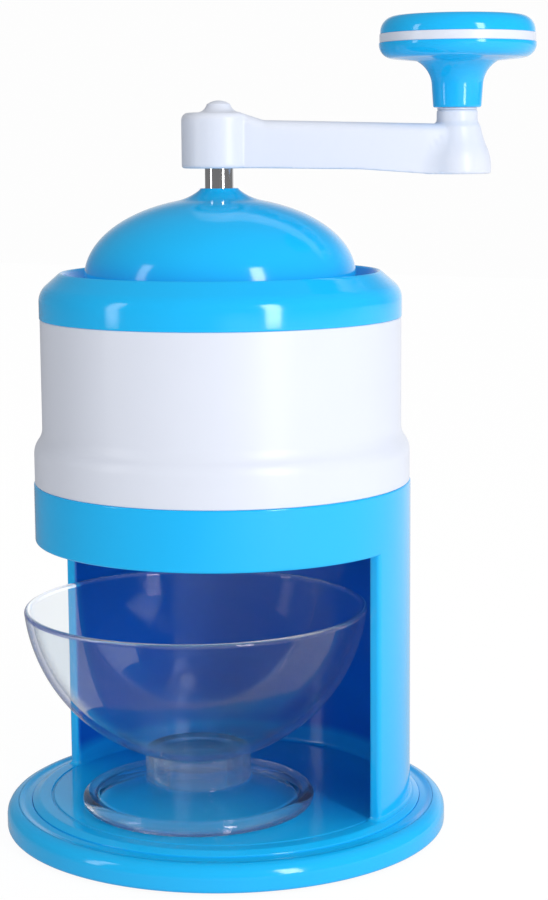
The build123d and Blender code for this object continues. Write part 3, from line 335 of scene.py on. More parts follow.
def turned(outline, centre=(0.0, 0.0), angles=None):
    """Grid of an outline turned about an upright axis: (cx + r cos t, cy + r sin t, z) for each angle t."""
    angles = turn_angles() if angles is None else angles
    around = np.column_stack([np.cos(angles), np.sin(angles)])
    plan = np.array(centre) + around[:, None, :] * outline[None, :, :1]
    height = np.broadcast_to(outline[:, 1:2], (len(angles), len(outline), 1))
    return np.concatenate([plan, height], axis=2)


def keyed(grid, keys, half_width, from_radius, to_radius, low, high):
    """Moves the parts of a turned wall that lie within a key's width and height to another distance.

    A point of the wall at from_radius whose offset from the key's middle line is under half_width goes to
    the flat at to_radius: its radius becomes to_radius / cos(angle from the key)."""
    radius, angle = np.hypot(grid[..., 0], grid[..., 1]), np.arctan2(grid[..., 1], grid[..., 0])
    wall = (np.abs(radius - from_radius) < 0.02) & (grid[..., 2] > low) & (grid[..., 2] < high)
    for key in np.radians(np.array(keys, float)):
        off = np.angle(np.exp(1j * (angle - key)))
        chosen = wall & (np.abs(np.sin(off)) * from_radius < half_width) & (np.cos(off) > 0)
        flat = to_radius / np.where(chosen, np.cos(off), 1.0) / np.maximum(radius, 1e-9)
        grid[..., 0] = np.where(chosen, grid[..., 0] * flat, grid[..., 0])
        grid[..., 1] = np.where(chosen, grid[..., 1] * flat, grid[..., 1])
    return grid


def carried(outline, rows):
    """Grid of a closed plan outline carried through rows of (outward offset, height).

    The point for outline point p and row (d, z) is p + d n, at height z, with n the outline's outward
    normal: the tangent between its neighbours, turned clockwise for an outline drawn anticlockwise."""
    rows = np.array(rows, float)
    tangent = np.roll(outline, -1, 0) - np.roll(outline, 1, 0)
    tangent = tangent / lengths(tangent)
    normal = np.column_stack([tangent[:, 1], -tangent[:, 0]])
    plan = outline[:, None, :] + normal[:, None, :] * rows[None, :, :1]
    height = np.broadcast_to(rows[:, 1:2], (len(outline), len(rows), 1))
    return np.concatenate([plan, height], axis=2)


def shell(grid, loop=True, capped=False):
    """Points and faces of a grid that is closed round its first index.

    Each face joins (i, j), (i + 1, j), (i + 1, j + 1) and (i, j + 1). With loop, the last column joins the
    first. With capped, the first and last columns are each closed by one flat face."""
    across, up = grid.shape[:2]
    index = np.arange(across * up).reshape(across, up)
    following = np.roll(index, -1, axis=0)
    if loop:
        quads = np.stack([index, following, np.roll(following, -1, 1), np.roll(index, -1, 1)], axis=-1)
    else:
        quads = np.stack([index[:, :-1], following[:, :-1], following[:, 1:], index[:, 1:]], axis=-1)
    faces = quads.reshape(-1, 4).tolist()
    if capped:
        faces += [index[::-1, 0].tolist(), index[:, -1].tolist()]
    return grid.reshape(-1, 3), faces


def solid(outline, centre=(0.0, 0.0), angles=None):
    """Closed body of an outline turned about an upright axis. One that starts on the axis also ends there."""
    on_axis = outline[0, 0] < 1e-6 and outline[-1, 0] < 1e-6
    return shell(turned(outline, centre, angles), loop=not on_axis)


def turned_about(shape, degrees):
    """Points of a shell turned about the upright axis."""
    where, faces = shape
    c, s = math.cos(math.radians(degrees)), math.sin(math.radians(degrees))
    return where @ np.array([[c, s, 0], [-s, c, 0], [0, 0, 1]]), faces


def placed(shape, matrix):
    """Points of a shell carried by a 4 x 4 matrix, in millimetres."""
    where, faces = shape
    matrix = np.array(matrix)
    return where @ matrix[:3, :3].T + matrix[:3, 3], faces


# ------------------------------------------------------------ pieces
def finish_mesh(mesh, sharp_degrees):
    """Merges doubles, which closes seams and poles, turns faces outwards and shades all but sharp edges."""
    work = bmesh.new()
    work.from_mesh(mesh)
    bmesh.ops.remove_doubles(work, verts=work.verts, dist=2e-6)
    bmesh.ops.dissolve_degenerate(work, edges=work.edges, dist=1e-7)
    loose = [v for v in work.verts if not v.link_faces]
    bmesh.ops.delete(work, geom=loose, context="VERTS")
    bmesh.ops.recalc_face_normals(work, faces=work.faces)
    work.to_mesh(mesh)
    work.free()
    mesh.shade_smooth()
    mesh.set_sharp_from_angle(angle=math.radians(sharp_degrees))


def add_object(name, mesh, body, slot, node, kind, sharp_degrees):
    """Finishes a mesh and links it as a piece on its body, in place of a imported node.

    Its material is the one of its slot, or of another kind if one is given."""
    finish_mesh(mesh, sharp_degrees)
    piece = bpy.data.objects.new(name, mesh)
    mesh.materials.clear()
    mesh.materials.append(finish_for(kind or slot))
    bpy.context.scene.collection.objects.link(piece)
    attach(piece, body)
    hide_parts(node)
    return piece


def add_piece(name, shells, body, slot, node, kind=None):
    """Joins shells, drawn in millimetres, into one piece."""
    where, faces, count = [], [], 0
    for shell_points, shell_faces in shells:
        where.append(shell_points)
        faces += [[corner + count for corner in face] for face in shell_faces]
        count += len(shell_points)
    mesh = bpy.data.meshes.new(name)
    mesh.from_pydata(np.concatenate(where) * MM, [], faces)
    return add_object(name, mesh, body, slot, node, kind, 32)


def smoothed_node(node, body, slot, kind=None, sharp_degrees=30):
    """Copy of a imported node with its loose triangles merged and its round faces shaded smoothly."""
    mesh = frame["nodes"][node].data.copy()
    mesh.name = f"{node}_smooth"
    return add_object(f"{node}_smooth", mesh, body, slot, node, kind, sharp_degrees)


# ------------------------------------------------------------ shaders
class Wire:
    """Output of a shader node, on which arithmetic adds Math nodes."""

    def __init__(self, tree, socket=None):
        self.tree = tree
        self.socket = socket

    def node(self, kind, settings=None, inputs=None, output=0):
        """Adds a node. Its settings come first, then its inputs' values or wires."""
        made = self.tree.nodes.new(kind)
        for key, value in (settings or {}).items():
            setattr(made, key, value)
        for key, value in (inputs or {}).items():
            if isinstance(value, Wire):
                self.tree.links.new(value.socket, made.inputs[key])
            else:
                made.inputs[key].default_value = value
        return Wire(self.tree, made.outputs[output] if made.outputs else None)

    def math(self, operation, first, second):
        """A Math node on wires or numbers."""
        return self.node("ShaderNodeMath", {"operation": operation}, {0: first, 1: second})

    def vector(self, operation, other=(0, 0, 0), output=0):
        """A Vector Math node on this wire and another vector."""
        settings = {"operation": operation}
        return self.node("ShaderNodeVectorMath", settings, {0: self, 1: other}, output)

    def __add__(self, other):
        return self.math("ADD", self, other)

    __radd__ = __add__

    def __sub__(self, other):
        return self.math("SUBTRACT", self, other)

    def __rsub__(self, other):
        return self.math("SUBTRACT", other, self)

    def __mul__(self, other):
        return self.math("MULTIPLY", self, other)

    __rmul__ = __mul__

    def dot(self, direction):
        """Length of a vector along a direction."""
        return self.vector("DOT_PRODUCT", direction, "Value")

    def from_axis(self):
        """Distance in plan from the upright axis."""
        return self.vector("MULTIPLY", (1, 1, 0)).vector("LENGTH", output="Value")

    def part(self, axis):
        """One component of a vector."""
        return self.node("ShaderNodeSeparateXYZ", None, {"Vector": self}, output=axis)

    def clamped(self):
        """The value kept between 0 and 1."""
        return self.math("MINIMUM", self.math("MAXIMUM", self, 0), 1)

    def smooth(self, low, high):
        """0 below low, 1 above high, and a smooth step between."""
        settings = {"interpolation_type": "SMOOTHSTEP"}
        return self.node("ShaderNodeMapRange", settings, {"Value": self, "From Min": low, "From Max": high})


def new_material(name):
    """Empty node material, and a Wire on its tree."""
    material = bpy.data.materials.new(name)
    material.use_nodes = True
    material.node_tree.nodes.clear()
    return material, Wire(material.node_tree)


def here(start):
    """Object coordinates."""
    return start.node("ShaderNodeTexCoord", output="Object")


def noise(place, scale, detail=2.0, roughness=0.5, stretch=None):
    """Soft noise from 0 to 1 at this many features a metre. stretch scales the coordinates first."""
    if stretch:
        place = place.node("ShaderNodeMapping", None, {"Vector": place, "Scale": stretch})
    inputs = {"Vector": place, "Scale": scale, "Detail": detail, "Roughness": roughness}
    return place.node("ShaderNodeTexNoise", None, inputs)


def shade(factor, dark, light):
    """Colour between two others by a factor. Each is a tuple or a wire."""
    dark, light = (end if isinstance(end, Wire) else (*end, 1) for end in (dark, light))
    return factor.node("ShaderNodeMix", {"data_type": "RGBA"}, {0: factor, 6: dark, 7: light}, output=2)


def toned(factor, colour, dark, light):
    """A colour that goes by a factor from dark to light times itself, each channel kept within 0 and 1."""
    ends = [tuple(float(np.clip(channel * share, 0, 1)) for channel in colour) for share in (dark, light)]
    return shade(factor, *ends)


def bump(height, depth, strength=1.0):
    """Normal of a surface that stands up by height x depth metres."""
    inputs = {"Height": height, "Distance": depth, "Strength": strength}
    return height.node("ShaderNodeBump", None, inputs)


def surface(start, base_colour, **inputs):
    """Principled surface as the material's output."""
    shader = start.node("ShaderNodeBsdfPrincipled", None, {"Base Color": base_colour, **inputs})
    start.node("ShaderNodeOutputMaterial", None, {"Surface": shader})


def moulded_plastic(start, place, colour, roughness, drift, painted_shade=None):
    """Injection moulded plastic: slow drift in colour where the melt flowed, a faint orange peel,
    hair scratches that run round the piece, and finger marks that dull the gloss in patches.
    A painted shade shows within the collar's bore: a deeper colour that stands in for the shade of the
    column's hollow, fully in the hollow from floor to deck, and by a share in the rear half above and below
    that."""
    flow = noise(place, 22, 3)
    marks = noise(place, 60, 4, 0.6).smooth(0.55, 0.8)
    scratch = noise(place, 240, 2, 0.6, stretch=(1, 1, 14)).smooth(0.68, 0.74)
    skin_colour = toned(flow, colour, 1 - drift, 1 + drift)
    # Painted shade: the hollow mask mixes the deeper blue into the colour where the stand's hollow lies in
    # shade.
    if painted_shade:
        height, behind = place.part("Z"), place.part("Y").smooth(-30 * MM, 20 * MM)
        over_floor = height.smooth((FLOOR_TOP + 0.2) * MM, (FLOOR_TOP + 9) * MM)
        over_deck = height.smooth((COLLAR_BOTTOM + 0.1) * MM, (COLLAR_BOTTOM + 0.6) * MM)
        full = over_floor * (1 - over_deck)
        within = 1 - place.from_axis().smooth(COLLAR_BORE * MM, PAINTED_SHADE_EDGE * MM)
        hollow = within * start.math("MAXIMUM", full, PAINTED_SHADE_BEHIND * behind)
        skin_colour = shade(hollow, skin_colour, painted_shade)
    dulled = roughness + 0.03 * marks + 0.03 * scratch
    surface(start, skin_colour, Roughness=dulled, IOR=1.5, Normal=bump(noise(place, 260, 1), 4e-6))


def satin_plastic(start, place, colour, roughness):
    """Moulded part with a spark-eroded, fine-grained face."""
    grain = noise(place, 2600, 2)
    base = toned(noise(place, 30, 3), colour, 0.94, 1.03)
    surface(start, base, Roughness=roughness + 0.12 * grain, IOR=1.48, Normal=bump(grain, 2.5e-5, 0.6))


def bowl_rim(place):
    """1 in the bowl's rounded rim, the top 1.3 mm."""
    return place.part("Z").smooth((bowl.top - 1.5) * MM, (bowl.top - 1.1) * MM)


def bowl_foot_bead(place):
    """1 in the rolled edge of the bowl's foot, 0.7 in its stem, and 0 in the flat disc between them."""
    away = place.vector("ADD", (0, -bowl.centre[1] * MM, 0)).from_axis()
    bead = away.smooth(FOOT_BEAD_INSIDE * MM, (FOOT_BEAD_INSIDE + 1) * MM)
    stem = place.part("Z").smooth((FOOT_DISC_TOP + 0.1) * MM, (FOOT_DISC_TOP + 0.5) * MM)
    return place.math("MAXIMUM", bead, 0.7 * stem)


def clear_plastic(start, place, tint, thick_part):
    """Clear moulding: a faint tint, flow waves and fine wear. Face on, a thin wall lets nine tenths of the
    light pass straight. At its edges, and in its thick part, it bends light and shines."""
    wear = noise(place, 180, 3, 0.6, stretch=(1, 1, 6)).smooth(0.6, 0.72)
    normal = bump(noise(place, 60), 1e-5)
    inputs = {
        "Base Color": toned(noise(place, 25), tint, 0.985, 1.0),
        "Roughness": 0.015 + 0.05 * wear,
        "Transmission Weight": 0.96,
        "IOR": 1.45,
        "Normal": normal,
    }
    thick = start.node("ShaderNodeBsdfPrincipled", None, inputs)
    thin = start.node("ShaderNodeBsdfTransparent", None, {"Color": (*tint, 1)})
    edge = start.node("ShaderNodeLayerWeight", None, {"Blend": 0.5, "Normal": normal}, output="Facing")
    share = 0.1 + 0.75 * start.math("MAXIMUM", edge.smooth(0.62, 1.0), thick_part(place))
    mixed = start.node("ShaderNodeMixShader", None, {0: share, 1: thin, 2: thick})
    start.node("ShaderNodeOutputMaterial", None, {"Surface": mixed})


def metal(start, base_colour, roughness, normal):
    """Bare metal surface."""
    surface(start, base_colour, Metallic=1.0, Roughness=roughness, Normal=normal)


def turned_steel(start, place, colour):
    """Steel ground between centres: fine rings round the upright axis, 0.35 mm apart, and faint stains."""
    rings = noise(place, 1 / 0.00035, 2, 0.6, stretch=(0.02, 0.02, 1))
    stain = noise(place, 160, 3)
    metal(start, toned(stain, colour, 0.94, 1.04), 0.06 + 0.03 * rings + 0.03 * stain, bump(rings, 5e-7))


def blade_steel(start, place, colour):
    """Rolled strip: grain along the blade, with a brighter ground band at its edge."""
    grain = noise(place, 900, 2, 0.6, stretch=(0.03, 1, 1))
    edge = place.part("Z").smooth(*(height * MM for height in BLADE_GROUND))
    cross = noise(place, 1400, 2, 0.6, stretch=(1, 0.05, 0.05))
    relief = bump(grain * (1 - edge) + cross * edge, 3e-6)
    metal(start, toned(edge, colour, 0.92, 1.25), 0.30 + 0.12 * grain - 0.14 * edge, relief)


def plated_steel(start, place, colour):
    """Small plated fittings: a mottled, slightly dull plating."""
    mottle = noise(place, 700, 3, 0.6)
    metal(start, toned(mottle, colour, 0.86, 1.08), 0.26 + 0.14 * mottle, bump(mottle, 4e-6))


def drawn_wire(start, _, colour):
    """Spring wire: darker bands that the coiling left, on the piece's own UV along the wire."""
    along = start.node("ShaderNodeUVMap", {"uv_map": "along"})
    bands = noise(along, 40, 2, 0.6, stretch=(1, 60, 1))
    metal(start, toned(bands, colour, 0.75, 1.05), 0.22 + 0.16 * bands, bump(bands, 3e-6))


def soft_rubber(start, place, colour):
    """Matt rubber with a dusty bloom in its fine grain."""
    grain = noise(place, 3200, 3, 0.7)
    bloom = noise(place, 60, 3).smooth(0.4, 0.8)
    base = toned(bloom, colour, 0.9, 1.6)
    surface(start, base, Roughness=0.72 + 0.2 * grain, Normal=bump(grain, 4e-5, 0.7))


def finish_for(kind):
    """Material of this kind, made when it is first asked for."""
    made = bpy.data.materials.get(f"shaver_{kind}")
    if made:
        return made
    looks = bpy.context.scene.shaver_finishes
    make, *settings = {
        "blue_plastic": (moulded_plastic, looks.blue, looks.gloss, 0.04),
        # The stand's blue plastic, with a painted shade in its hollow.
        "stand_plastic_painted_shade": (moulded_plastic, looks.blue, looks.gloss, 0.04, looks.painted_shade_blue),
        "white_plastic": (moulded_plastic, looks.white, looks.gloss + 0.22, 0.02),
        "inner_plastic": (satin_plastic, looks.inner, 0.36),
        "clear_plastic": (clear_plastic, looks.clear, bowl_rim),
        "clear_foot": (clear_plastic, looks.clear, bowl_foot_bead),
        "polished_steel": (turned_steel, looks.polished),
        "plated_steel": (plated_steel, looks.steel),
        "blade_steel": (blade_steel, looks.steel),
        "spring_steel": (drawn_wire, looks.steel),
        "soft_rubber": (soft_rubber, looks.rubber),
    }[kind]
    material, start = new_material(f"shaver_{kind}")
    make(start, here(start), *settings)
    return material


# ------------------------------------------------------------ the stand
def at_foot_screws(outline, facets):
    """The same turned body round each of the foot's screws."""
    angles = np.radians(FOOT_SCREW_ANGLES)
    centres = FOOT_SCREW_CIRCLE * np.column_stack([np.cos(angles), np.sin(angles)])
    return [solid(outline, centre, full_circle(facets)) for centre in centres]


def foot_shells():
    """The flange: its section turned about the axis, with ribs, a hub and four screw wells below."""
    skirt, web = foot.radius - 2.8, 6.1
    section = rounded(
        (0, FLOOR_UNDERSIDE), (63.04, FLOOR_UNDERSIDE), (63.04, foot.top, 0.3),
        (65.4, foot.top - 0.35, 3.0), (67.0, foot.top, 2.0),
        (foot.radius, 9.3, 3.9), (foot.radius, foot.bottom, 1.2), (skirt, foot.bottom, 0.3),
        (skirt, 4.4, 0.6), (skirt - 2.2, 6.7, 0.6), (64.2, 6.7, 0.4), (64.2, foot.bottom, 0.2),
        (63.0, foot.bottom), (63.0, 2.2), (58.0, 2.2), (58.0, foot.bottom), (56.8, foot.bottom, 0.2),
        (56.8, web, 0.4), (0, web),
    )
    hub = rounded((11, 2.6, 0.4), (11, 6.4), (9.2, 6.4), (9.2, 2.6, 0.4))
    well = rounded(
        (5.6, 1.2, 0.4), (5.6, 6.4), (3.8, 6.4), (3.8, 4.2), (1.7, 4.2), (1.7, FOOT_SCREW_SEAT),
        (3.2, FOOT_SCREW_SEAT), (3.2, 1.2, 0.3),
    )
    rib_plan = np.array([(10.0, -0.9), (57.8, -0.9), (57.8, 0.9), (10.0, 0.9)])
    rib = shell(carried(rib_plan, [(-0.3, 2.6), (0, 2.9), (0, 6.6)]), loop=False, capped=True)
    shells = [solid(section), solid(hub)]
    shells += [turned_about(rib, 45 * n) for n in range(8)]
    return shells + at_foot_screws(well, 40)


def ring_shells():
    """Rubber ring, with two fine grooves in the face that it stands on."""
    groove = ((-0.35, 0), (-0.2, 0.35), (0.2, 0.35), (0.35, 0))
    grooves = [(middle + side, z) for middle in (59.6, 61.4) for side, z in groove]
    return [solid(rounded((58, 0, 0.6), *grooves, (63, 0, 0.6), (63, 2.2), (58, 2.2)))]


def column_plan(radius, recess, front):
    """Closed plan of the half-round column: outer arc, inner arc, and two front ends with rounded corners."""
    outer, inner = (math.degrees(math.asin(front / r)) for r in (radius, recess))
    outside = arc((0, 0), (radius, radius), outer, 180 - outer, 96)
    inside = arc((0, 0), (recess, recess), 180 - inner, inner, 96)
    for row in (0, -1):
        outside[row, 2] = inside[row, 2] = 1.3
    return rounded(outside, inside, support=0.4)


def stand_shells():
    """Floor, column, collar with its deck, and the bosses that the foot's screws enter.

    The column's wall leaves the floor in a quarter round, and ends where the collar's lower rounding has
    run out, on the same radius, so that the two make one unbroken wall at the back."""
    forms = bpy.context.scene.shaver_forms
    radius, recess = forms.body_radius / MM, (forms.body_radius - forms.column_wall) / MM
    groove, root = 0.9, 1.2
    floor = rounded(
        (0, FLOOR_UNDERSIDE), (stand.radius, FLOOR_UNDERSIDE), (stand.radius, 10.0, 0.3),
        (60.7, FLOOR_TOP, 2.2),
        (recess + groove + 0.1, FLOOR_TOP, 0.25), (recess + groove - 0.2, FLOOR_TOP - GROOVE_DEPTH, 0.2),
        (recess + 0.2, FLOOR_TOP - GROOVE_DEPTH, 0.2), (recess - 0.1, FLOOR_TOP, 0.25), (0, FLOOR_TOP),
    )
    floor = turned(floor)
    filled = (floor[..., 1] > COLUMN_FRONT - 3) & (floor[..., 2] > FLOOR_TOP - 1)
    floor[..., 2] = np.where(filled & (np.hypot(floor[..., 0], floor[..., 1]) < 58), FLOOR_TOP, floor[..., 2])
    turn = np.linspace(0, np.pi / 2, 7)
    rows = [(root * (1 - math.sin(t)), FLOOR_TOP + root * (1 - math.cos(t))) for t in turn]
    rows = [(root, FLOOR_TOP - 0.5), *rows, (0, FLOOR_TOP + root + 0.5), (0, COLLAR_BOTTOM + 0.8)]
    column = carried(column_plan(radius, recess, COLUMN_FRONT), rows)
    collar = rounded(
        (48, COLLAR_BOTTOM, 0.4), (radius, COLLAR_BOTTOM, 0.8), (radius, stand.top, 0.4),
        (COLLAR_BORE, stand.top, 0.3), (COLLAR_BORE, 103.5), (COLLAR_BORE, 103.4), (COLLAR_BORE, DECK_TOP),
        (48, DECK_TOP, 0.4),
    )
    half_slot = KEY_HALF_WIDTH + forms.fit_gap / MM
    collar = turned(collar, angles=turn_angles(KEY_ANGLES, half_slot, COLLAR_BORE))
    slot_face = COLLAR_BORE + KEY_SLOT_DEPTH
    collar = keyed(collar, KEY_ANGLES, half_slot, COLLAR_BORE, slot_face, 103.45, stand.top + 1)
    boss = rounded((3.5, stand.bottom, 0.3), (3.5, 8.7), (1.35, 8.7), (1.35, stand.bottom, 0.2))
    shells = [shell(floor, loop=False), shell(column, loop=False, capped=True), shell(collar)]
    return shells + at_foot_screws(boss, 32)


# ------------------------------------------------------------ barrel and lid
def barrel_shells():
    """The white chamber: one section, with keys on its spigot and slots for the lid's keys in its bore."""
    top, skirt, waist = barrel.top, barrel.radius, 131.0
    half_step = ((skirt + BARREL_RADIUS) / 2, (123.0 + waist) / 2)
    lower_step = bend((skirt, 123.0), half_step, (0, 1))
    heading = lower_step[-1] - lower_step[-2]
    section = rounded(
        (SPIGOT_RADIUS, barrel.bottom, 0.4), (SPIGOT_RADIUS, 103.6), (SPIGOT_RADIUS, 103.7),
        (SPIGOT_RADIUS, 113.59), (SPIGOT_RADIUS, 113.61), (SPIGOT_RADIUS, 121.0), (57.4, 121.0),
        (57.4, stand.top, 0.1), (skirt, stand.top, 0.4), lower_step,
        bend(half_step, (BARREL_RADIUS, waist), heading), (BARREL_RADIUS, top, 0.3),
        (BARREL_BORE, top, 0.4), (BARREL_BORE, 156.8), (BARREL_BORE, 156.7), (BARREL_BORE, 103.4),
        (47, 103.4, 0.3), (47, barrel.bottom, 0.3),
    )
    slot = KEY_HALF_WIDTH + bpy.context.scene.shaver_forms.fit_gap / MM
    key_turns = turn_angles(KEY_ANGLES, KEY_HALF_WIDTH, SPIGOT_RADIUS)
    slot_turns = turn_angles(LID_KEY_ANGLES, slot, BARREL_BORE)
    grid = turned(section, angles=np.unique(np.concatenate([key_turns, slot_turns])))
    grid = keyed(grid, KEY_ANGLES, KEY_HALF_WIDTH, SPIGOT_RADIUS, SPIGOT_RADIUS + KEY_DEPTH, 103.65, 113.6)
    grid = keyed(grid, LID_KEY_ANGLES, slot, BARREL_BORE, BARREL_BORE + KEY_SLOT_DEPTH, 156.75, top + 1)
    return [shell(grid)]


def cap_ring_shells():
    """Outer half of the lid: upright wall, shoulder, crest, floor round the dome, and keyed spigot."""
    radius, bottom = cap_ring.radius, cap_ring.bottom
    wall_foot = barrel.top
    section = rounded(
        (radius, wall_foot, 0.4), bend((radius, 171.0), (54.8, 176.0), (0, 1)), (51.6, 178.8),
        bend((51.6, 178.8), (50.4, cap_ring.top), (-0.72, 0.69), 5),
        bend((50.4, cap_ring.top), (49.3, 178.8), (-1, 0), 5), (48.6, CAP_FLOOR + 0.6, 0.4),
        (47.4, CAP_FLOOR, 0.6),
        (43.1, CAP_FLOOR, 0.2), (43.1, CAP_CEILING), (50.9, CAP_CEILING, 0.5), (50.9, bottom, 0.3),
        (LID_SPIGOT_RADIUS, bottom, 0.6), (LID_SPIGOT_RADIUS, 165.4), (LID_SPIGOT_RADIUS, 165.5),
        (LID_SPIGOT_RADIUS, CAP_CEILING, 0.4), (radius - 2.4, 171.6), (radius - 2.4, wall_foot),
    )
    grid = turned(section, angles=turn_angles(LID_KEY_ANGLES, KEY_HALF_WIDTH, LID_SPIGOT_RADIUS))
    reach = LID_SPIGOT_RADIUS + KEY_DEPTH
    grid = keyed(grid, LID_KEY_ANGLES, KEY_HALF_WIDTH, LID_SPIGOT_RADIUS, reach, bottom + 0.5, 165.45)
    return [shell(grid)]


def dome_shells():
    """Inner half of the lid: an elliptical shell that flares up into the shaft's neck, and ends below in
    a skirt cut by slots beside each snap hook. Gussets join the shell to the bush's housing."""
    wall = bpy.context.scene.shaver_forms.wall / MM
    inner, rise, housing, skirt = DOME_RADIUS - wall, DOME_RISE - wall, 9.2, dome.bottom
    crown = arc((0, DOME_CENTRE), (DOME_RADIUS, DOME_RISE), 0, 71.5, 48)
    ceiling = arc((0, DOME_CENTRE), (inner, rise), math.degrees(math.acos(housing / inner)), 0, 40)
    section = rounded(
        crown, bend(crown[-1], (6.4, dome.top - 0.6), crown[-1] - crown[-2], 14), (5.9, dome.top, 0.3),
        (4.8, dome.top, 0.3), (4.8, 202.6), (6.52, 202.6), (6.52, 187.0), (housing, 187.0, 0.4), ceiling,
        (inner, 174.3), (inner, 174.2), (inner, skirt, 0.3), (DOME_RADIUS, skirt, 0.3),
        (DOME_RADIUS, 174.2), (DOME_RADIUS, 174.3), (DOME_RADIUS, CAP_FLOOR), (dome.radius, CAP_FLOOR, 0.2),
        (dome.radius, 176.6, 0.3), (DOME_RADIUS, 177.2),
    )
    hooks, half_hook = 45 + 90 * np.arange(4), 8.0
    slots = np.concatenate([hooks - half_hook - 2, hooks + half_hook + 2])
    grid = turned(section, angles=turn_angles(slots, 0.6, DOME_RADIUS))
    angle = np.arctan2(grid[..., 1], grid[..., 0])
    off = np.abs(np.angle(np.exp(1j * (angle[..., None] - np.radians(slots))))).min(-1)
    cut = (off * DOME_RADIUS < 0.6) & (grid[..., 2] < 174.25)
    grid[..., 2] = np.where(cut, 174.25, grid[..., 2])
    hook = points((42.3, 173.15), (42.3, 170.95), (42.9, 170.95), (44.0, 172.55), (44.0, 173.15))[:, :2]
    hook_turn = np.radians(np.linspace(-half_hook, half_hook, 13))
    hook_grid = turned(hook, angles=hook_turn).transpose(1, 0, 2)
    shells = [shell(grid)]
    shells += [turned_about(shell(hook_grid, loop=False, capped=True), angle) for angle in hooks]
    across = np.array([8.8, 18.2, 26.0])
    share = across / (DOME_RADIUS - wall / 2)
    shell_middle = DOME_CENTRE + (DOME_RISE - wall / 2) * np.sqrt(1 - share**2)
    low = np.array([189.0, 194.0, shell_middle[2] - 2])
    low[1] = np.interp(across[1], across[[0, 2]], low[[0, 2]])
    plate = np.column_stack([np.r_[across, across[::-1]], np.r_[low, shell_middle[::-1]]])
    sides = np.array([-0.8, 0.8])
    gusset = np.stack(np.broadcast_arrays(plate[:, :1], sides, plate[:, 1:]), axis=-1)
    shells += [turned_about(shell(gusset, loop=False, capped=True), 60 * n) for n in range(6)]
    return shells


# ------------------------------------------------------------ crank and knob
def far_end_outline():
    """Outer face of the crank arm's far end: a flare that narrows upwards to the bar's width, and a
    shoulder from there to the pin's boss."""
    low, radius = arm.bottom, 10.7
    flare = bend((radius, low + 2), (radius - 1.5, low + 8.6), (0, 1), 8)
    neck = bend(flare[-1], (7.35, 224.2), flare[-1] - flare[-2], 8)
    return np.concatenate([points((radius, low, 0.7)), flare, neck[1:], points((PIN_BOSS, 225.8))])


def bar_shell():
    """The arm's bar, an inverted channel whose section changes with the distance s from the shaft.

    Its half width w and its top run straight from hub to far end, the top after the hub's slope, and its
    legs sink to the far end's foot. Where the far end has the radius r > w, a fillet of radius f joins the
    two: it is centred w + f to the side, at sqrt((r + f)^2 - (w + f)^2) before the pin, and touches the far
    end at r / (r + f) of the way from the pin to that centre. It fades out by a smooth step where r comes
    within 1.2 mm of w. The legs end on a circle round the pin, and above them the half width
    eases in by a smooth step, so that the end stays inside the pin's boss."""
    leg_end, end, fillet = crank_reach - 8.0, crank_reach - 2.6, 14.0
    s = np.concatenate([np.linspace(8, HUB_SLOPE[1], 8), np.linspace(HUB_SLOPE[1] + 1, leg_end - 8, 32)])
    s = np.concatenate([s, np.linspace(leg_end - 7.6, leg_end, 16), np.linspace(leg_end + 0.2, end, 20)])
    wide = np.interp(s, [0, crank_reach], BAR_HALF_WIDTH)
    narrow = wide - 0.5 * smooth_step((s - leg_end + 4) / (end - leg_end + 4))
    tall = np.interp(s, [*HUB_SLOPE, crank_reach], [HUB_TOP, *BAR_TOP])
    roof = np.where(s > leg_end + 0.3, BAR_CEILING - 2.3, BAR_CEILING)
    legs = s < crank_reach - 4.2
    sinks = [0, 0.6, HUB_BOTTOM - arm.bottom - 0.1]
    sunk = np.interp(s, [HUB_RADIUS, crank_reach - 30, crank_reach - 9], sinks)
    foot_z = np.where(legs, HUB_BOTTOM - sunk, roof)
    side_z = foot_z + (tall - 3 - foot_z) * np.linspace(0, 1, 10)[:, None]
    outline = far_end_outline()[1:]
    around = np.interp(side_z, outline[:, 1], outline[:, 0])
    before = np.sqrt(np.maximum((around + fillet) ** 2 - (wide + fillet) ** 2, 0))
    along = s - (crank_reach - before)
    touch = before * fillet / (around + fillet)
    hollow = wide + fillet - np.sqrt(np.maximum(fillet**2 - np.clip(along, 0, touch) ** 2, 0))
    side_y = narrow + (hollow - narrow) * smooth_step((around - wide) / 1.2 * (along > 0))
    circle = np.sqrt(np.maximum(LEG_CIRCLE**2 - (crank_reach - s) ** 2, 0))
    inner = np.minimum(np.maximum(wide - 2.4, circle), narrow - 0.1)
    turn = np.linspace(0.2, np.pi / 2, 7)[:, None]
    half_y = np.concatenate([[inner, inner], side_y, narrow - 3 + 3 * np.cos(turn)])
    half_z = np.concatenate([[roof, foot_z], side_z, tall - 3 + 3 * np.sin(turn)])
    y, z = np.concatenate([half_y, -half_y[::-1]]), np.concatenate([half_z, half_z[::-1]])
    return shell(np.stack([np.broadcast_to(s, y.shape), y, z], axis=-1), loop=False, capped=True)


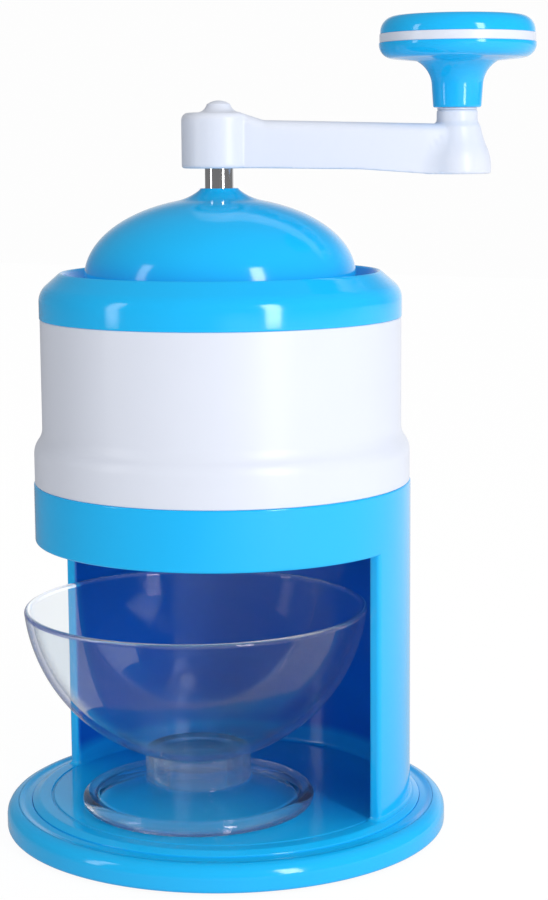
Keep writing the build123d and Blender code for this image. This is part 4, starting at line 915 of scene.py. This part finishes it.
def arm_shells():
    """Hub, bar and far end of the crank arm, which a remesh melts into one moulding.

    The hub's top is cut down to a slope that runs into the bar: its height is the lesser of its own and
    the slope's. The far end flares out below the pin's boss, and is hollow round it."""
    low, boss = arm.bottom, 7.2
    hub = rounded(
        (4.6, HUB_BOTTOM, 0.3), (boss, HUB_BOTTOM, 0.3), (boss, BAR_CEILING, 0.5), (9.3, BAR_CEILING, 0.5),
        (9.3, HUB_BOTTOM, 0.3), (HUB_RADIUS, HUB_BOTTOM, 0.8), (HUB_RADIUS, HUB_TOP, 2.2),
        (4.4, HUB_TOP, 0.3), (4.4, HUB_SCREW_SEAT), (1.9, HUB_SCREW_SEAT), (1.9, 222.2), (4.6, 222.2),
    )
    turn = full_circle(96)
    hub = turned(hub, angles=turn)
    hub[..., 2] = np.minimum(hub[..., 2], np.interp(hub[..., 0], HUB_SLOPE, [HUB_TOP, BAR_TOP[0]]))
    far_end = rounded(
        (2.3, HUB_BOTTOM), (5.4, HUB_BOTTOM, 0.3), (5.4, 219.8), (7.0, 217.8), (8.3, low, 0.3),
        far_end_outline(), (PIN_BOSS, arm.top, 0.5), (2.3, arm.top, 0.2),
    )
    shells = [bar_shell(), shell(hub)]
    for n in range(1, 4):
        middle = HUB_RADIUS + 13.5 * n
        plan = np.array([(middle + x, y) for x, y in ((-0.8, -6.4), (0.8, -6.4), (0.8, 6.4), (-0.8, 6.4))])
        rows = [(0, HUB_BOTTOM + 1.5), (0, BAR_CEILING + 0.5)]
        shells.append(shell(carried(plan, rows), loop=False, capped=True))
    shells = [turned_about(part, math.degrees(crank_turn)) for part in shells]
    shells.append(solid(far_end, grip.centre, turn))
    return shells


def domed(radius, edge, top, steps=14):
    """Rows along an arc centred on the axis, from (radius, edge) up to (0, top)."""
    rise = top - edge
    sphere = (radius**2 + rise**2) / (2 * rise)
    start = math.degrees(math.acos(radius / sphere))
    return arc((0, top - sphere), (sphere, sphere), start, 90, steps)


def hub_cap_shells():
    """The bell-shaped cap that closes the hub over its screw."""
    low, high = HUB_TOP, hub_cap.top
    section = rounded(
        (0, hub_cap.bottom), (4.3, hub_cap.bottom, 0.2), (4.3, low - 0.1), (hub_cap.radius, low - 0.1),
        bend((hub_cap.radius, low + 0.05), (3.7, low + 2.5), (-1, 0)), domed(3.7, low + 2.5, high),
    )
    return [solid(section, angles=full_circle(72))]


def grip_shells():
    """Stem and lower half of the knob, hollow above for the band and the pin's head."""
    radius, bore, seat, pocket = grip.radius, 3.06, 246.2, band.bottom - 0.2
    inner, outer = (12.8, 244.3), (20.5, 245.1)
    stem = (8.0, 237.2)
    section = rounded(
        (bore, grip.bottom), (7.5, grip.bottom, 0.6), bend(stem, inner, (0.5, 6.7), 16),
        bend(outer, (radius, grip.top - 0.02), np.subtract(outer, inner), 16),
        (radius - 0.02, grip.top, 0.0), (21.6, grip.top), (21.6, pocket, 0.3), (6.2, pocket, 0.3),
        (6.2, seat), (bore, seat),
    )
    return [solid(section, grip.centre)]


def band_shells():
    """White band, with the spigots that hold the knob's halves."""
    low, high, edge = grip.top, knob_top.bottom, grip.radius - 0.2
    section = rounded(
        (19.8, band.bottom, 0.2), (21.5, band.bottom, 0.2), (21.5, low), (edge, low, 0.25),
        (edge, high, 0.25), (21.5, high), (21.5, band.top, 0.2), (19.8, band.top, 0.2),
    )
    return [solid(section, grip.centre)]


def knob_cap_shells():
    """Upper half of the knob: rounded rim, almost flat crown."""
    edge, low, crown, high = knob_top.radius, knob_top.bottom, 20.0, knob_top.top
    section = rounded(
        (0, high - 2.4), (17.8, high - 2.9, 0.8), (21.6, low + 1.8, 0.4), (21.6, low), (edge, low, 0.2),
        bend((edge, low + 0.7), (crown, high - 0.6), (0, 1), 18), domed(crown, high - 0.6, high),
    )
    return [solid(section, grip.centre)]


# ------------------------------------------------------------ the bowl
def on_bowl(sphere, across):
    """Height of the bowl's sphere of this radius, this far from its axis."""
    return BOWL_CENTRE - math.sqrt(sphere**2 - across**2)


def bowl_shells():
    """Part of a hollow sphere with a rounded rim, and a short plug below that sits in the stem."""
    inside = BOWL_SPHERE - BOWL_WALL
    drop = BOWL_CENTRE - bowl.top + BOWL_WALL / 2
    rims = [math.degrees(math.asin(drop / sphere)) for sphere in (inside, BOWL_SPHERE)]
    plug, plug_inside, plug_bottom = 14.1, 12.1, bowl.bottom
    ends = [-math.degrees(math.acos(across / BOWL_SPHERE)) for across in (plug, plug_inside)]
    within = arc((0, BOWL_CENTRE), (inside, inside), -90, -rims[0], 64)
    outside = arc((0, BOWL_CENTRE), (BOWL_SPHERE,) * 2, -rims[1], ends[0], 56)
    lip = (within[-1] + outside[0]) / 2
    rim = arc(lip, (BOWL_WALL / 2, BOWL_WALL / 2), 180, 0, 10)[1:-1]
    below = arc((0, BOWL_CENTRE), (BOWL_SPHERE,) * 2, ends[1], -90, 12)
    section = rounded(
        within, rim, outside, (plug, plug_bottom, 0.3), (plug_inside, plug_bottom, 0.3), below,
    )
    return [solid(section, bowl.centre)]


def bowl_foot_shells():
    """Wide disc with a rolled edge, and the stem that carries the bowl."""
    low, edge, bead, disc_top = bowl_foot.bottom, bowl_foot.radius, 2.3, FOOT_DISC_TOP
    stem, bore = 16.8, 14.2
    section = rounded(
        (0, disc_top), (bore, disc_top, 0.5), (bore, on_bowl(BOWL_SPHERE + 0.05, bore), 0.2),
        (stem, on_bowl(BOWL_SPHERE + 0.05, stem), 0.3), bend((stem, 19.8), (18.2, disc_top - 0.2), (0, -1)),
        (edge - 2 * bead + 0.3, low + bead + 1.4, 0.8),
        arc((edge - bead, low + bead), (bead, bead), 110, -90, 20), (edge - 2 * bead, low, 0.4),
        (edge - 2 * bead - 1, low + 1.9, 0.8), (stem, disc_top - 2.6, 1.0), (0, disc_top - 2.4),
    )
    return [solid(section, bowl_foot.centre)]


# ------------------------------------------------------------ fittings
def screw_shell(head_radius, head_height, shank_radius, length):
    """Pan-head screw: shank up from the origin, head below it, on a grid of angle and outline.

    The thread moves a point of the shank by depth x triangle wave of (height / pitch - turn), and the cross
    recess lifts the head's face by a smooth step of the distance to the nearer of two crossed bars."""
    fittings = bpy.context.scene.shaver_fittings
    pitch, depth = fittings.thread_pitch / MM, fittings.thread_depth / MM
    face = np.linspace(0, head_radius * 0.62, 14)
    crown = arc((head_radius * 0.6, -head_height * 0.45), (head_radius * 0.4, head_height * 0.55), -88, 0, 8)
    head = np.concatenate([np.column_stack([face, 0 * face - head_height]), crown[:, :2]])
    neck = [(head_radius, -0.1), (head_radius - 0.1, 0), (shank_radius, 0), (shank_radius, 0.3)]
    height = np.linspace(0.4, length - shank_radius, int(8 * length / pitch))
    shank = np.column_stack([0 * height + shank_radius, height])
    tip = [(shank_radius * 0.5, length - shank_radius * 0.4), (0, length)]
    outline = np.concatenate([head, neck, shank, tip])
    angles = full_circle(40)
    grid = turned(outline, angles=angles)
    first, last = len(head) + len(neck), len(head) + len(neck) + len(shank)
    turns = grid[:, first:last, 2] / pitch - angles[:, None] / (2 * np.pi)
    fade = np.clip((length - shank_radius - grid[:, first:last, 2]) / (2 * pitch), 0, 1)
    crest = 1 - depth / shank_radius * np.abs(2 * np.mod(turns, 1) - 1) * (0.3 + 0.7 * fade)
    grid[:, first:last, :2] *= crest[..., None]
    x, y = grid[:, : len(face), 0], grid[:, : len(face), 1]
    bar, reach = 0.14 * head_radius, 0.5 * head_radius
    gap = np.minimum(
        np.maximum(np.abs(x) - bar, np.abs(y) - reach), np.maximum(np.abs(y) - bar, np.abs(x) - reach)
    )
    grid[:, : len(face), 2] += 0.7 * head_height * np.clip(0.5 - gap / (0.12 * head_radius), 0, 1)
    return shell(grid, loop=False)


def screws_round(screw, radius, angles, height):
    """The same screw at each angle of a circle."""
    shells = []
    for turn in np.radians(np.array(angles, float)):
        place = Matrix.Translation((radius * math.cos(turn), radius * math.sin(turn), height))
        shells.append(placed(screw, place @ Matrix.Rotation(3 * turn, 4, "Z")))
    return shells


def shaft_shells():
    """The drive shaft, turned: hexagon, groove for the clip, journal, bearing shoulder and two flats.

    At angle t the hexagon's radius is 3.5 / cos(t from the middle of its face), but no more than the
    journal's. In the hub the radius is at most 3.8 / |sin(t - turn of the crank)|."""
    clip, bush = Extent("shaft_clip"), Extent("shaft_bush")
    low, high = shaft.bottom, shaft.top
    journal, radius = 4.0, shaft.radius
    outline = points(
        (0, low + 9.0), (1.4, low + 9.0), (1.4, low), (journal, low), (journal, clip.bottom),
        (3.2, clip.bottom), (3.2, clip.top), (journal, clip.top), (journal, bush.top + 0.05),
        (radius, bush.top + 0.05), (radius, HUB_BOTTOM), (radius, HUB_BOTTOM), (radius, high - 0.4),
        (radius - 0.4, high), (1.6, high), (1.6, high - 10.0), (0, high - 10.0),
    )
    angles = full_circle(144)
    grid = turned(outline, angles=angles)
    face = np.mod(angles, np.pi / 3) - np.pi / 6
    limit = np.full(grid.shape[:2], radius)
    limit[:, 3:5] = np.minimum(journal, 3.5 / np.cos(face))[:, None]
    limit[:, 11:14] = (3.8 / np.maximum(np.abs(np.sin(angles - crank_turn)), 1e-3))[:, None]
    around = np.maximum(np.hypot(grid[..., 0], grid[..., 1]), 1e-9)
    grid[..., :2] *= np.minimum(1, limit / around)[..., None]
    return [shell(grid, loop=False)]


def spring_piece():
    """The feed spring: one round wire along a helix, closed at both ends.

    The middle of the wire is at radius R and angle 2 pi t after t turns. Its rise is the running sum of a
    pitch that steps smoothly from the closed pitch at either end to the open one. A ring of the wire's
    section lies in the plane of the outward direction and the direction square to the helix."""
    fittings = bpy.context.scene.shaver_fittings
    radius, wire = fittings.spring_radius / MM, fittings.spring_wire / MM
    under, over = press_plate.bottom + PLATE_WEB, spring_seat.top - SPRING_SEAT_WEB
    low, high = under + wire + 0.02, over - wire - 0.02
    turns, closed_pitch = fittings.open_coils + 2, 2.1
    along = np.linspace(0, turns, 72 * turns + 1)
    opened = smooth_step((np.minimum(along, turns - along) - 0.75) / 0.5)
    closed_rise = np.cumsum(np.r_[0, np.full(len(along) - 1, closed_pitch / 72)])
    open_rise = np.cumsum(np.r_[0, (opened[1:] + opened[:-1]) / 2])
    height = low + closed_rise + open_rise / open_rise[-1] * (high - low - closed_rise[-1])
    angle = 2 * np.pi * along
    outward = np.column_stack([np.cos(angle), np.sin(angle), 0 * angle])
    middle = radius * outward + np.column_stack([0 * angle, 0 * angle, height])
    tangent = np.gradient(middle, axis=0)
    tangent /= np.linalg.norm(tangent, axis=1, keepdims=True)
    square = np.cross(tangent, outward)
    around = full_circle(14)
    ring = outward[None] * np.cos(around)[:, None, None] + square[None] * np.sin(around)[:, None, None]
    shape = shell(middle[None] + wire * ring, loop=False, capped=True)
    piece = add_piece("feed_spring_wire", [shape], "crank", "spring_steel", "feed_spring")
    mesh = piece.data
    where = np.empty(3 * len(mesh.vertices))
    mesh.vertices.foreach_get("co", where)
    where = where.reshape(-1, 3) / MM
    corner = np.empty(len(mesh.loops), int)
    mesh.loops.foreach_get("vertex_index", corner)
    level = np.interp(where[:, 2], height, along) + 0.5
    uv = np.column_stack([level, np.hypot(where[:, 0], where[:, 1]) / radius])[corner]
    mesh.uv_layers.new(name="along").uv.foreach_set("vector", uv.ravel())
    travel = next(joint for joint in frame["joints"] if joint["name"] == "plate_feed")["range_m"][1]
    length = (over - under) * MM
    (length - travel) / length
    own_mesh(piece)


# ------------------------------------------------------------ operators
class SHAVER_OT_foot(Operator):
    """Foot flange and the rubber ring that it stands on"""

    bl_idname = "shaver.foot"
    bl_label = "Foot"

    def execute(self, context):
        add_piece("foot_flange", foot_shells(), "stand", "blue_plastic", "base_foot")
        add_piece("foot_ring", ring_shells(), "stand", "soft_rubber", "non_slip_ring")
        return {"FINISHED"}


class SHAVER_OT_stand(Operator):
    """Stand: floor, half-round column and collar"""

    bl_idname = "shaver.stand"
    bl_label = "Stand"

    def execute(self, context):
        # The stand gets the blue plastic with a painted shade in its hollow column.
        add_piece("stand_moulding", stand_shells(), "stand", "blue_plastic", "stand", "stand_plastic_painted_shade")
        return {"FINISHED"}


class SHAVER_OT_barrel(Operator):
    """White ice barrel"""

    bl_idname = "shaver.barrel"
    bl_label = "Barrel"

    def execute(self, context):
        add_piece("ice_barrel", barrel_shells(), "barrel", "white_plastic", "barrel")
        return {"FINISHED"}


class SHAVER_OT_lid(Operator):
    """Cap ring and dome of the lid"""

    bl_idname = "shaver.lid"
    bl_label = "Lid"

    def execute(self, context):
        add_piece("lid_ring", cap_ring_shells(), "lid", "blue_plastic", "cap_ring")
        add_piece("lid_dome", dome_shells(), "lid", "blue_plastic", "dome")
        return {"FINISHED"}


class SHAVER_OT_crank(Operator):
    """Crank arm and the cap over its screw"""

    bl_idname = "shaver.crank"
    bl_label = "Crank"

    def execute(self, context):
        piece = add_piece("crank_handle", arm_shells(), "crank", "white_plastic", "crank_arm")
        melt = piece.modifiers.new("Melt", "REMESH")
        melt.mode = "VOXEL"
        melt.voxel_size = context.scene.shaver_forms.arm_voxel
        melt.use_smooth_shade = True
        ease = piece.modifiers.new("Ease", "SMOOTH")
        ease.factor = 0.5
        ease.iterations = 6
        add_piece("hub_bell", hub_cap_shells(), "crank", "white_plastic", "hub_cap")
        return {"FINISHED"}


class SHAVER_OT_knob(Operator):
    """Knob: grip, band and cap"""

    bl_idname = "shaver.knob"
    bl_label = "Knob"

    def execute(self, context):
        add_piece("knob_stem", grip_shells(), "knob", "blue_plastic", "knob_grip")
        add_piece("knob_stripe", band_shells(), "knob", "white_plastic", "knob_band")
        add_piece("knob_crown", knob_cap_shells(), "knob", "blue_plastic", "knob_cap")
        return {"FINISHED"}


class SHAVER_OT_bowl(Operator):
    """Clear bowl and its foot"""

    bl_idname = "shaver.bowl"
    bl_label = "Bowl"

    def execute(self, context):
        add_piece("bowl_shell", bowl_shells(), "bowl", "clear_plastic", "ice_bowl")
        add_piece("bowl_stand", bowl_foot_shells(), "bowl", "clear_plastic", "bowl_foot", "clear_foot")
        return {"FINISHED"}


class SHAVER_OT_shaft(Operator):
    """Drive shaft, spring and the small pieces that turn with them"""

    bl_idname = "shaver.shaft"
    bl_label = "Shaft and spring"

    def execute(self, context):
        add_piece("shaft_rod", shaft_shells(), "crank", "polished_steel", "drive_shaft")
        for node in ("shaft_clip", "thrust_washer", "end_washer", "knob_pin"):
            smoothed_node(node, "crank", "steel", "plated_steel")
        smoothed_node("spring_seat", "crank", "inner_plastic")
        smoothed_node("knob_washer", "crank", "inner_plastic", "white_plastic")
        spring_piece()
        return {"FINISHED"}


class SHAVER_OT_insides(Operator):
    """Cutter plate, blade, bush, press plate and its spikes"""

    bl_idname = "shaver.insides"
    bl_label = "Insides"

    def execute(self, context):
        for node, body in (("cutter_plate", "barrel"), ("shaft_bush", "lid"), ("press_plate", "press_plate")):
            smoothed_node(node, body, "inner_plastic")
        smoothed_node("blade", "barrel", "steel", "blade_steel", 20)
        smoothed_node("ice_spikes", "press_plate", "steel", "plated_steel")
        return {"FINISHED"}


class SHAVER_OT_screws(Operator):
    """All screws, with their threads and cross recesses"""

    bl_idname = "shaver.screws"
    bl_label = "Screws"

    def execute(self, context):
        foot_screw = screw_shell(2.8, 1.4, 1.3, 6.2)
        foot_screws = screws_round(foot_screw, FOOT_SCREW_CIRCLE, FOOT_SCREW_ANGLES, FOOT_SCREW_SEAT)
        cutter_screws = screws_round(screw_shell(2.6, 1.5, 1.3, 5.2), 50.0, KEY_ANGLES, barrel.bottom)
        tilt, edge = math.radians(BLADE_TILT), Extent("blade").top
        blade_screw, blade_screws = screw_shell(2.9, 1.6, 1.3, 4.4), []
        for x in (14.0, 34.0):
            y = -BLADE_SCREW_LINE * math.cos(tilt) + BLADE_SCREW_DEPTH * math.sin(tilt)
            z = edge - BLADE_SCREW_LINE * math.sin(tilt) - BLADE_SCREW_DEPTH * math.cos(tilt)
            place = Matrix.Translation((x, y, z)) @ Matrix.Rotation(tilt, 4, "X") @ Matrix.Rotation(x, 4, "Z")
            blade_screws.append(placed(blade_screw, place))
        end_place = Matrix.Translation((0, 0, Extent("end_washer").bottom))
        crank_place = Matrix.Translation((0, 0, HUB_SCREW_SEAT)) @ Matrix.Rotation(math.pi, 4, "X")
        for name, shells, body, node in (
            ("foot_fixings", foot_screws, "stand", "foot_screws"),
            ("cutter_fixings", cutter_screws, "barrel", "cutter_screws"),
            ("blade_fixings", blade_screws, "barrel", "blade_screws"),
            ("shaft_end_screw", [placed(screw_shell(3.2, 1.8, 1.35, 8.4), end_place)], "crank", "end_screw"),
            ("hub_screw", [placed(screw_shell(3.7, 2.1, 1.5, 10.5), crank_place)], "crank", "crank_screw"),
        ):
            add_piece(name, shells, body, "steel", node, "plated_steel")
        return {"FINISHED"}


class SHAVER_OT_stage(Operator):
    """Pale floor, two softboxes, even sky and the camera"""

    bl_idname = "shaver.stage"
    bl_label = "Stage"

    def execute(self, context):
        stage = context.scene.shaver_stage
        self.add_floor(context, stage)
        self.add_world(context, stage)
        key, fill = (stage.camera_turn + math.radians(degrees) for degrees in (33, -67))
        self.add_softbox(context, "key_softbox", key, 0.17, stage.key_power)
        self.add_softbox(context, "left_softbox", fill, 0.15, stage.fill_power)
        self.add_camera(context, stage)
        context.scene.view_settings.view_transform = "Standard"
        return {"FINISHED"}

    def add_floor(self, context, stage):
        """White floor that shows the object's shadow faintly: part diffuse, part its own white."""
        mesh = bpy.data.meshes.new("floor")
        half = 2.5
        corners = [(-half, -half, 0), (half, -half, 0), (half, half, 0), (-half, half, 0)]
        mesh.from_pydata(corners, [], [(0, 1, 2, 3)])
        material, start = new_material("pale_floor")
        place = here(start)
        white = shade(noise(place, 300, 3), (0.86, 0.86, 0.86), (0.9, 0.9, 0.9))
        paint = start.node("ShaderNodeBsdfDiffuse", None, {"Color": white})
        right = place.dot(picture_axes(stage)[0])
        seen, gloss, through = seen_rays(start)
        reflected = stage.room + (1 - stage.room) * right.smooth(-0.3, 0.4)
        strength = 1.03 * (seen + through).clamped() + gloss * reflected
        light = start.node("ShaderNodeEmission", None, {"Color": (1, 1, 1, 1), "Strength": strength})
        share = (seen + gloss + through).clamped() * stage.glow
        mixed = start.node("ShaderNodeMixShader", None, {0: share, 1: paint, 2: light})
        start.node("ShaderNodeOutputMaterial", None, {"Surface": mixed})
        mesh.materials.append(material)
        floor = bpy.data.objects.new("floor", mesh)
        context.scene.collection.objects.link(floor)

    def add_world(self, context, stage):
        """White backdrop, a soft sky that is dimmer on the left, and a dark room behind the camera.

        With a the share of a direction that points to the right of the picture and b the share that points
        to its depth, the sky's light grows by a smooth step of a. Gloss shows the white backdrop, up to a
        third of the way to overhead, by a smooth step of b, and the dark room elsewhere."""
        world = bpy.data.worlds.new("studio")
        world.use_nodes = True
        world.node_tree.nodes.clear()
        context.scene.world = world
        start = Wire(world.node_tree)
        aim = here(start)
        right, depth = (aim.dot(axis) for axis in picture_axes(stage))
        seen, gloss, through = seen_rays(start)
        sky = stage.sky * (stage.left_sky + (1 - stage.left_sky) * right.smooth(-0.9, 0.3))
        backdrop = depth.smooth(0.5, 1.0) * (1 - aim.part("Z").smooth(0.15, 0.5)) * right.smooth(-0.7, 0.3)
        room = stage.room + (1 - stage.room) * backdrop
        direct = (seen + through).clamped()
        strength = 0.985 * direct + (1 - direct) * (gloss * room + (1 - gloss) * sky)
        back = start.node("ShaderNodeBackground", None, {"Color": (1, 1, 1, 1), "Strength": strength})
        start.node("ShaderNodeOutputWorld", None, {"Surface": back})

    def add_softbox(self, context, name, azimuth, width, power):
        """Upright area lamp, this far round from the front, aimed at the middle of the shaft's axis."""
        distance, height, tall, aimed_at = 0.95, 0.40, 0.66, 0.13
        lamp = bpy.data.lights.new(name, "AREA")
        lamp.shape = "RECTANGLE"
        lamp.size = width
        lamp.size_y = tall
        lamp.energy = power
        light = bpy.data.objects.new(name, lamp)
        light.location = (distance * math.sin(azimuth), -distance * math.cos(azimuth), height)
        aim = Vector((0, 0, aimed_at)) - light.location
        light.rotation_euler = aim.to_track_quat("-Z", "Y").to_euler()
        context.scene.collection.objects.link(light)

    def add_camera(self, context, stage):
        """Camera to the right of the axis and in front of it, turned and tilted as the picture was taken."""
        across, forward = (Vector(axis) for axis in picture_axes(stage))
        data = bpy.data.cameras.new("portrait")
        data.sensor_width = 36
        data.lens = stage.lens
        camera = bpy.data.objects.new("portrait", data)
        camera.location = across * stage.camera_side - forward * stage.camera_distance
        camera.location.z = stage.camera_height
        upright = Euler((math.pi / 2 - stage.camera_tilt, 0, stage.camera_turn)).to_matrix()
        camera.rotation_euler = (upright @ Matrix.Rotation(stage.camera_roll, 3, "Z")).to_euler()
        context.scene.collection.objects.link(camera)
        context.scene.camera = camera


def picture_axes(stage):
    """Level directions to the right of the picture and into its depth."""
    turn = stage.camera_turn
    return (math.cos(turn), math.sin(turn), 0), (-math.sin(turn), math.cos(turn), 0)


def seen_rays(start):
    """Three wires that are 1 on rays from the camera, on reflected rays of gloss and metal, and on rays
    through clear plastic."""
    outputs = start.node("ShaderNodeLightPath").socket.node.outputs
    return [Wire(start.tree, outputs[f"Is {kind} Ray"]) for kind in ("Camera", "Glossy", "Transmission")]


class SHAVER_PT_panel(Panel):
    """Lists the steps that build the shaver, with its settings"""

    bl_label = "Ice Shaver"
    bl_idname = "SHAVER_PT_panel"
    bl_space_type = "VIEW_3D"
    bl_region_type = "UI"
    bl_category = "Ice Shaver"

    def draw(self, context):
        layout, scene = self.layout, context.scene
        for step in STEPS:
            layout.operator(step.bl_idname)
        for group in (scene.shaver_forms, scene.shaver_fittings, scene.shaver_finishes, scene.shaver_stage):
            box = layout.box()
            for name in group.__annotations__:
                box.prop(group, name)


STEPS = (
    SHAVER_OT_foot,
    SHAVER_OT_stand,
    SHAVER_OT_barrel,
    SHAVER_OT_lid,
    SHAVER_OT_crank,
    SHAVER_OT_knob,
    SHAVER_OT_bowl,
    SHAVER_OT_shaft,
    SHAVER_OT_insides,
    SHAVER_OT_screws,
    SHAVER_OT_stage,
)
GROUPS = {
    "shaver_forms": SHAVER_PG_forms,
    "shaver_fittings": SHAVER_PG_fittings,
    "shaver_finishes": SHAVER_PG_finishes,
    "shaver_stage": SHAVER_PG_stage,
}


def register():
    for group_name, group in GROUPS.items():
        bpy.utils.register_class(group)
        setattr(bpy.types.Scene, group_name, PointerProperty(type=group))
    for entry in (*STEPS, SHAVER_PT_panel):
        bpy.utils.register_class(entry)


def unregister():
    for entry in (SHAVER_PT_panel, *reversed(STEPS)):
        bpy.utils.unregister_class(entry)
    for group_name, group in reversed(GROUPS.items()):
        delattr(bpy.types.Scene, group_name)
        bpy.utils.unregister_class(group)


def main():
    """Builds every piece and the stage."""
    register()
    for step in STEPS:
        family, name = step.bl_idname.split(".")
        getattr(getattr(bpy.ops, family), name)()


if __name__ == "__main__":
    main()
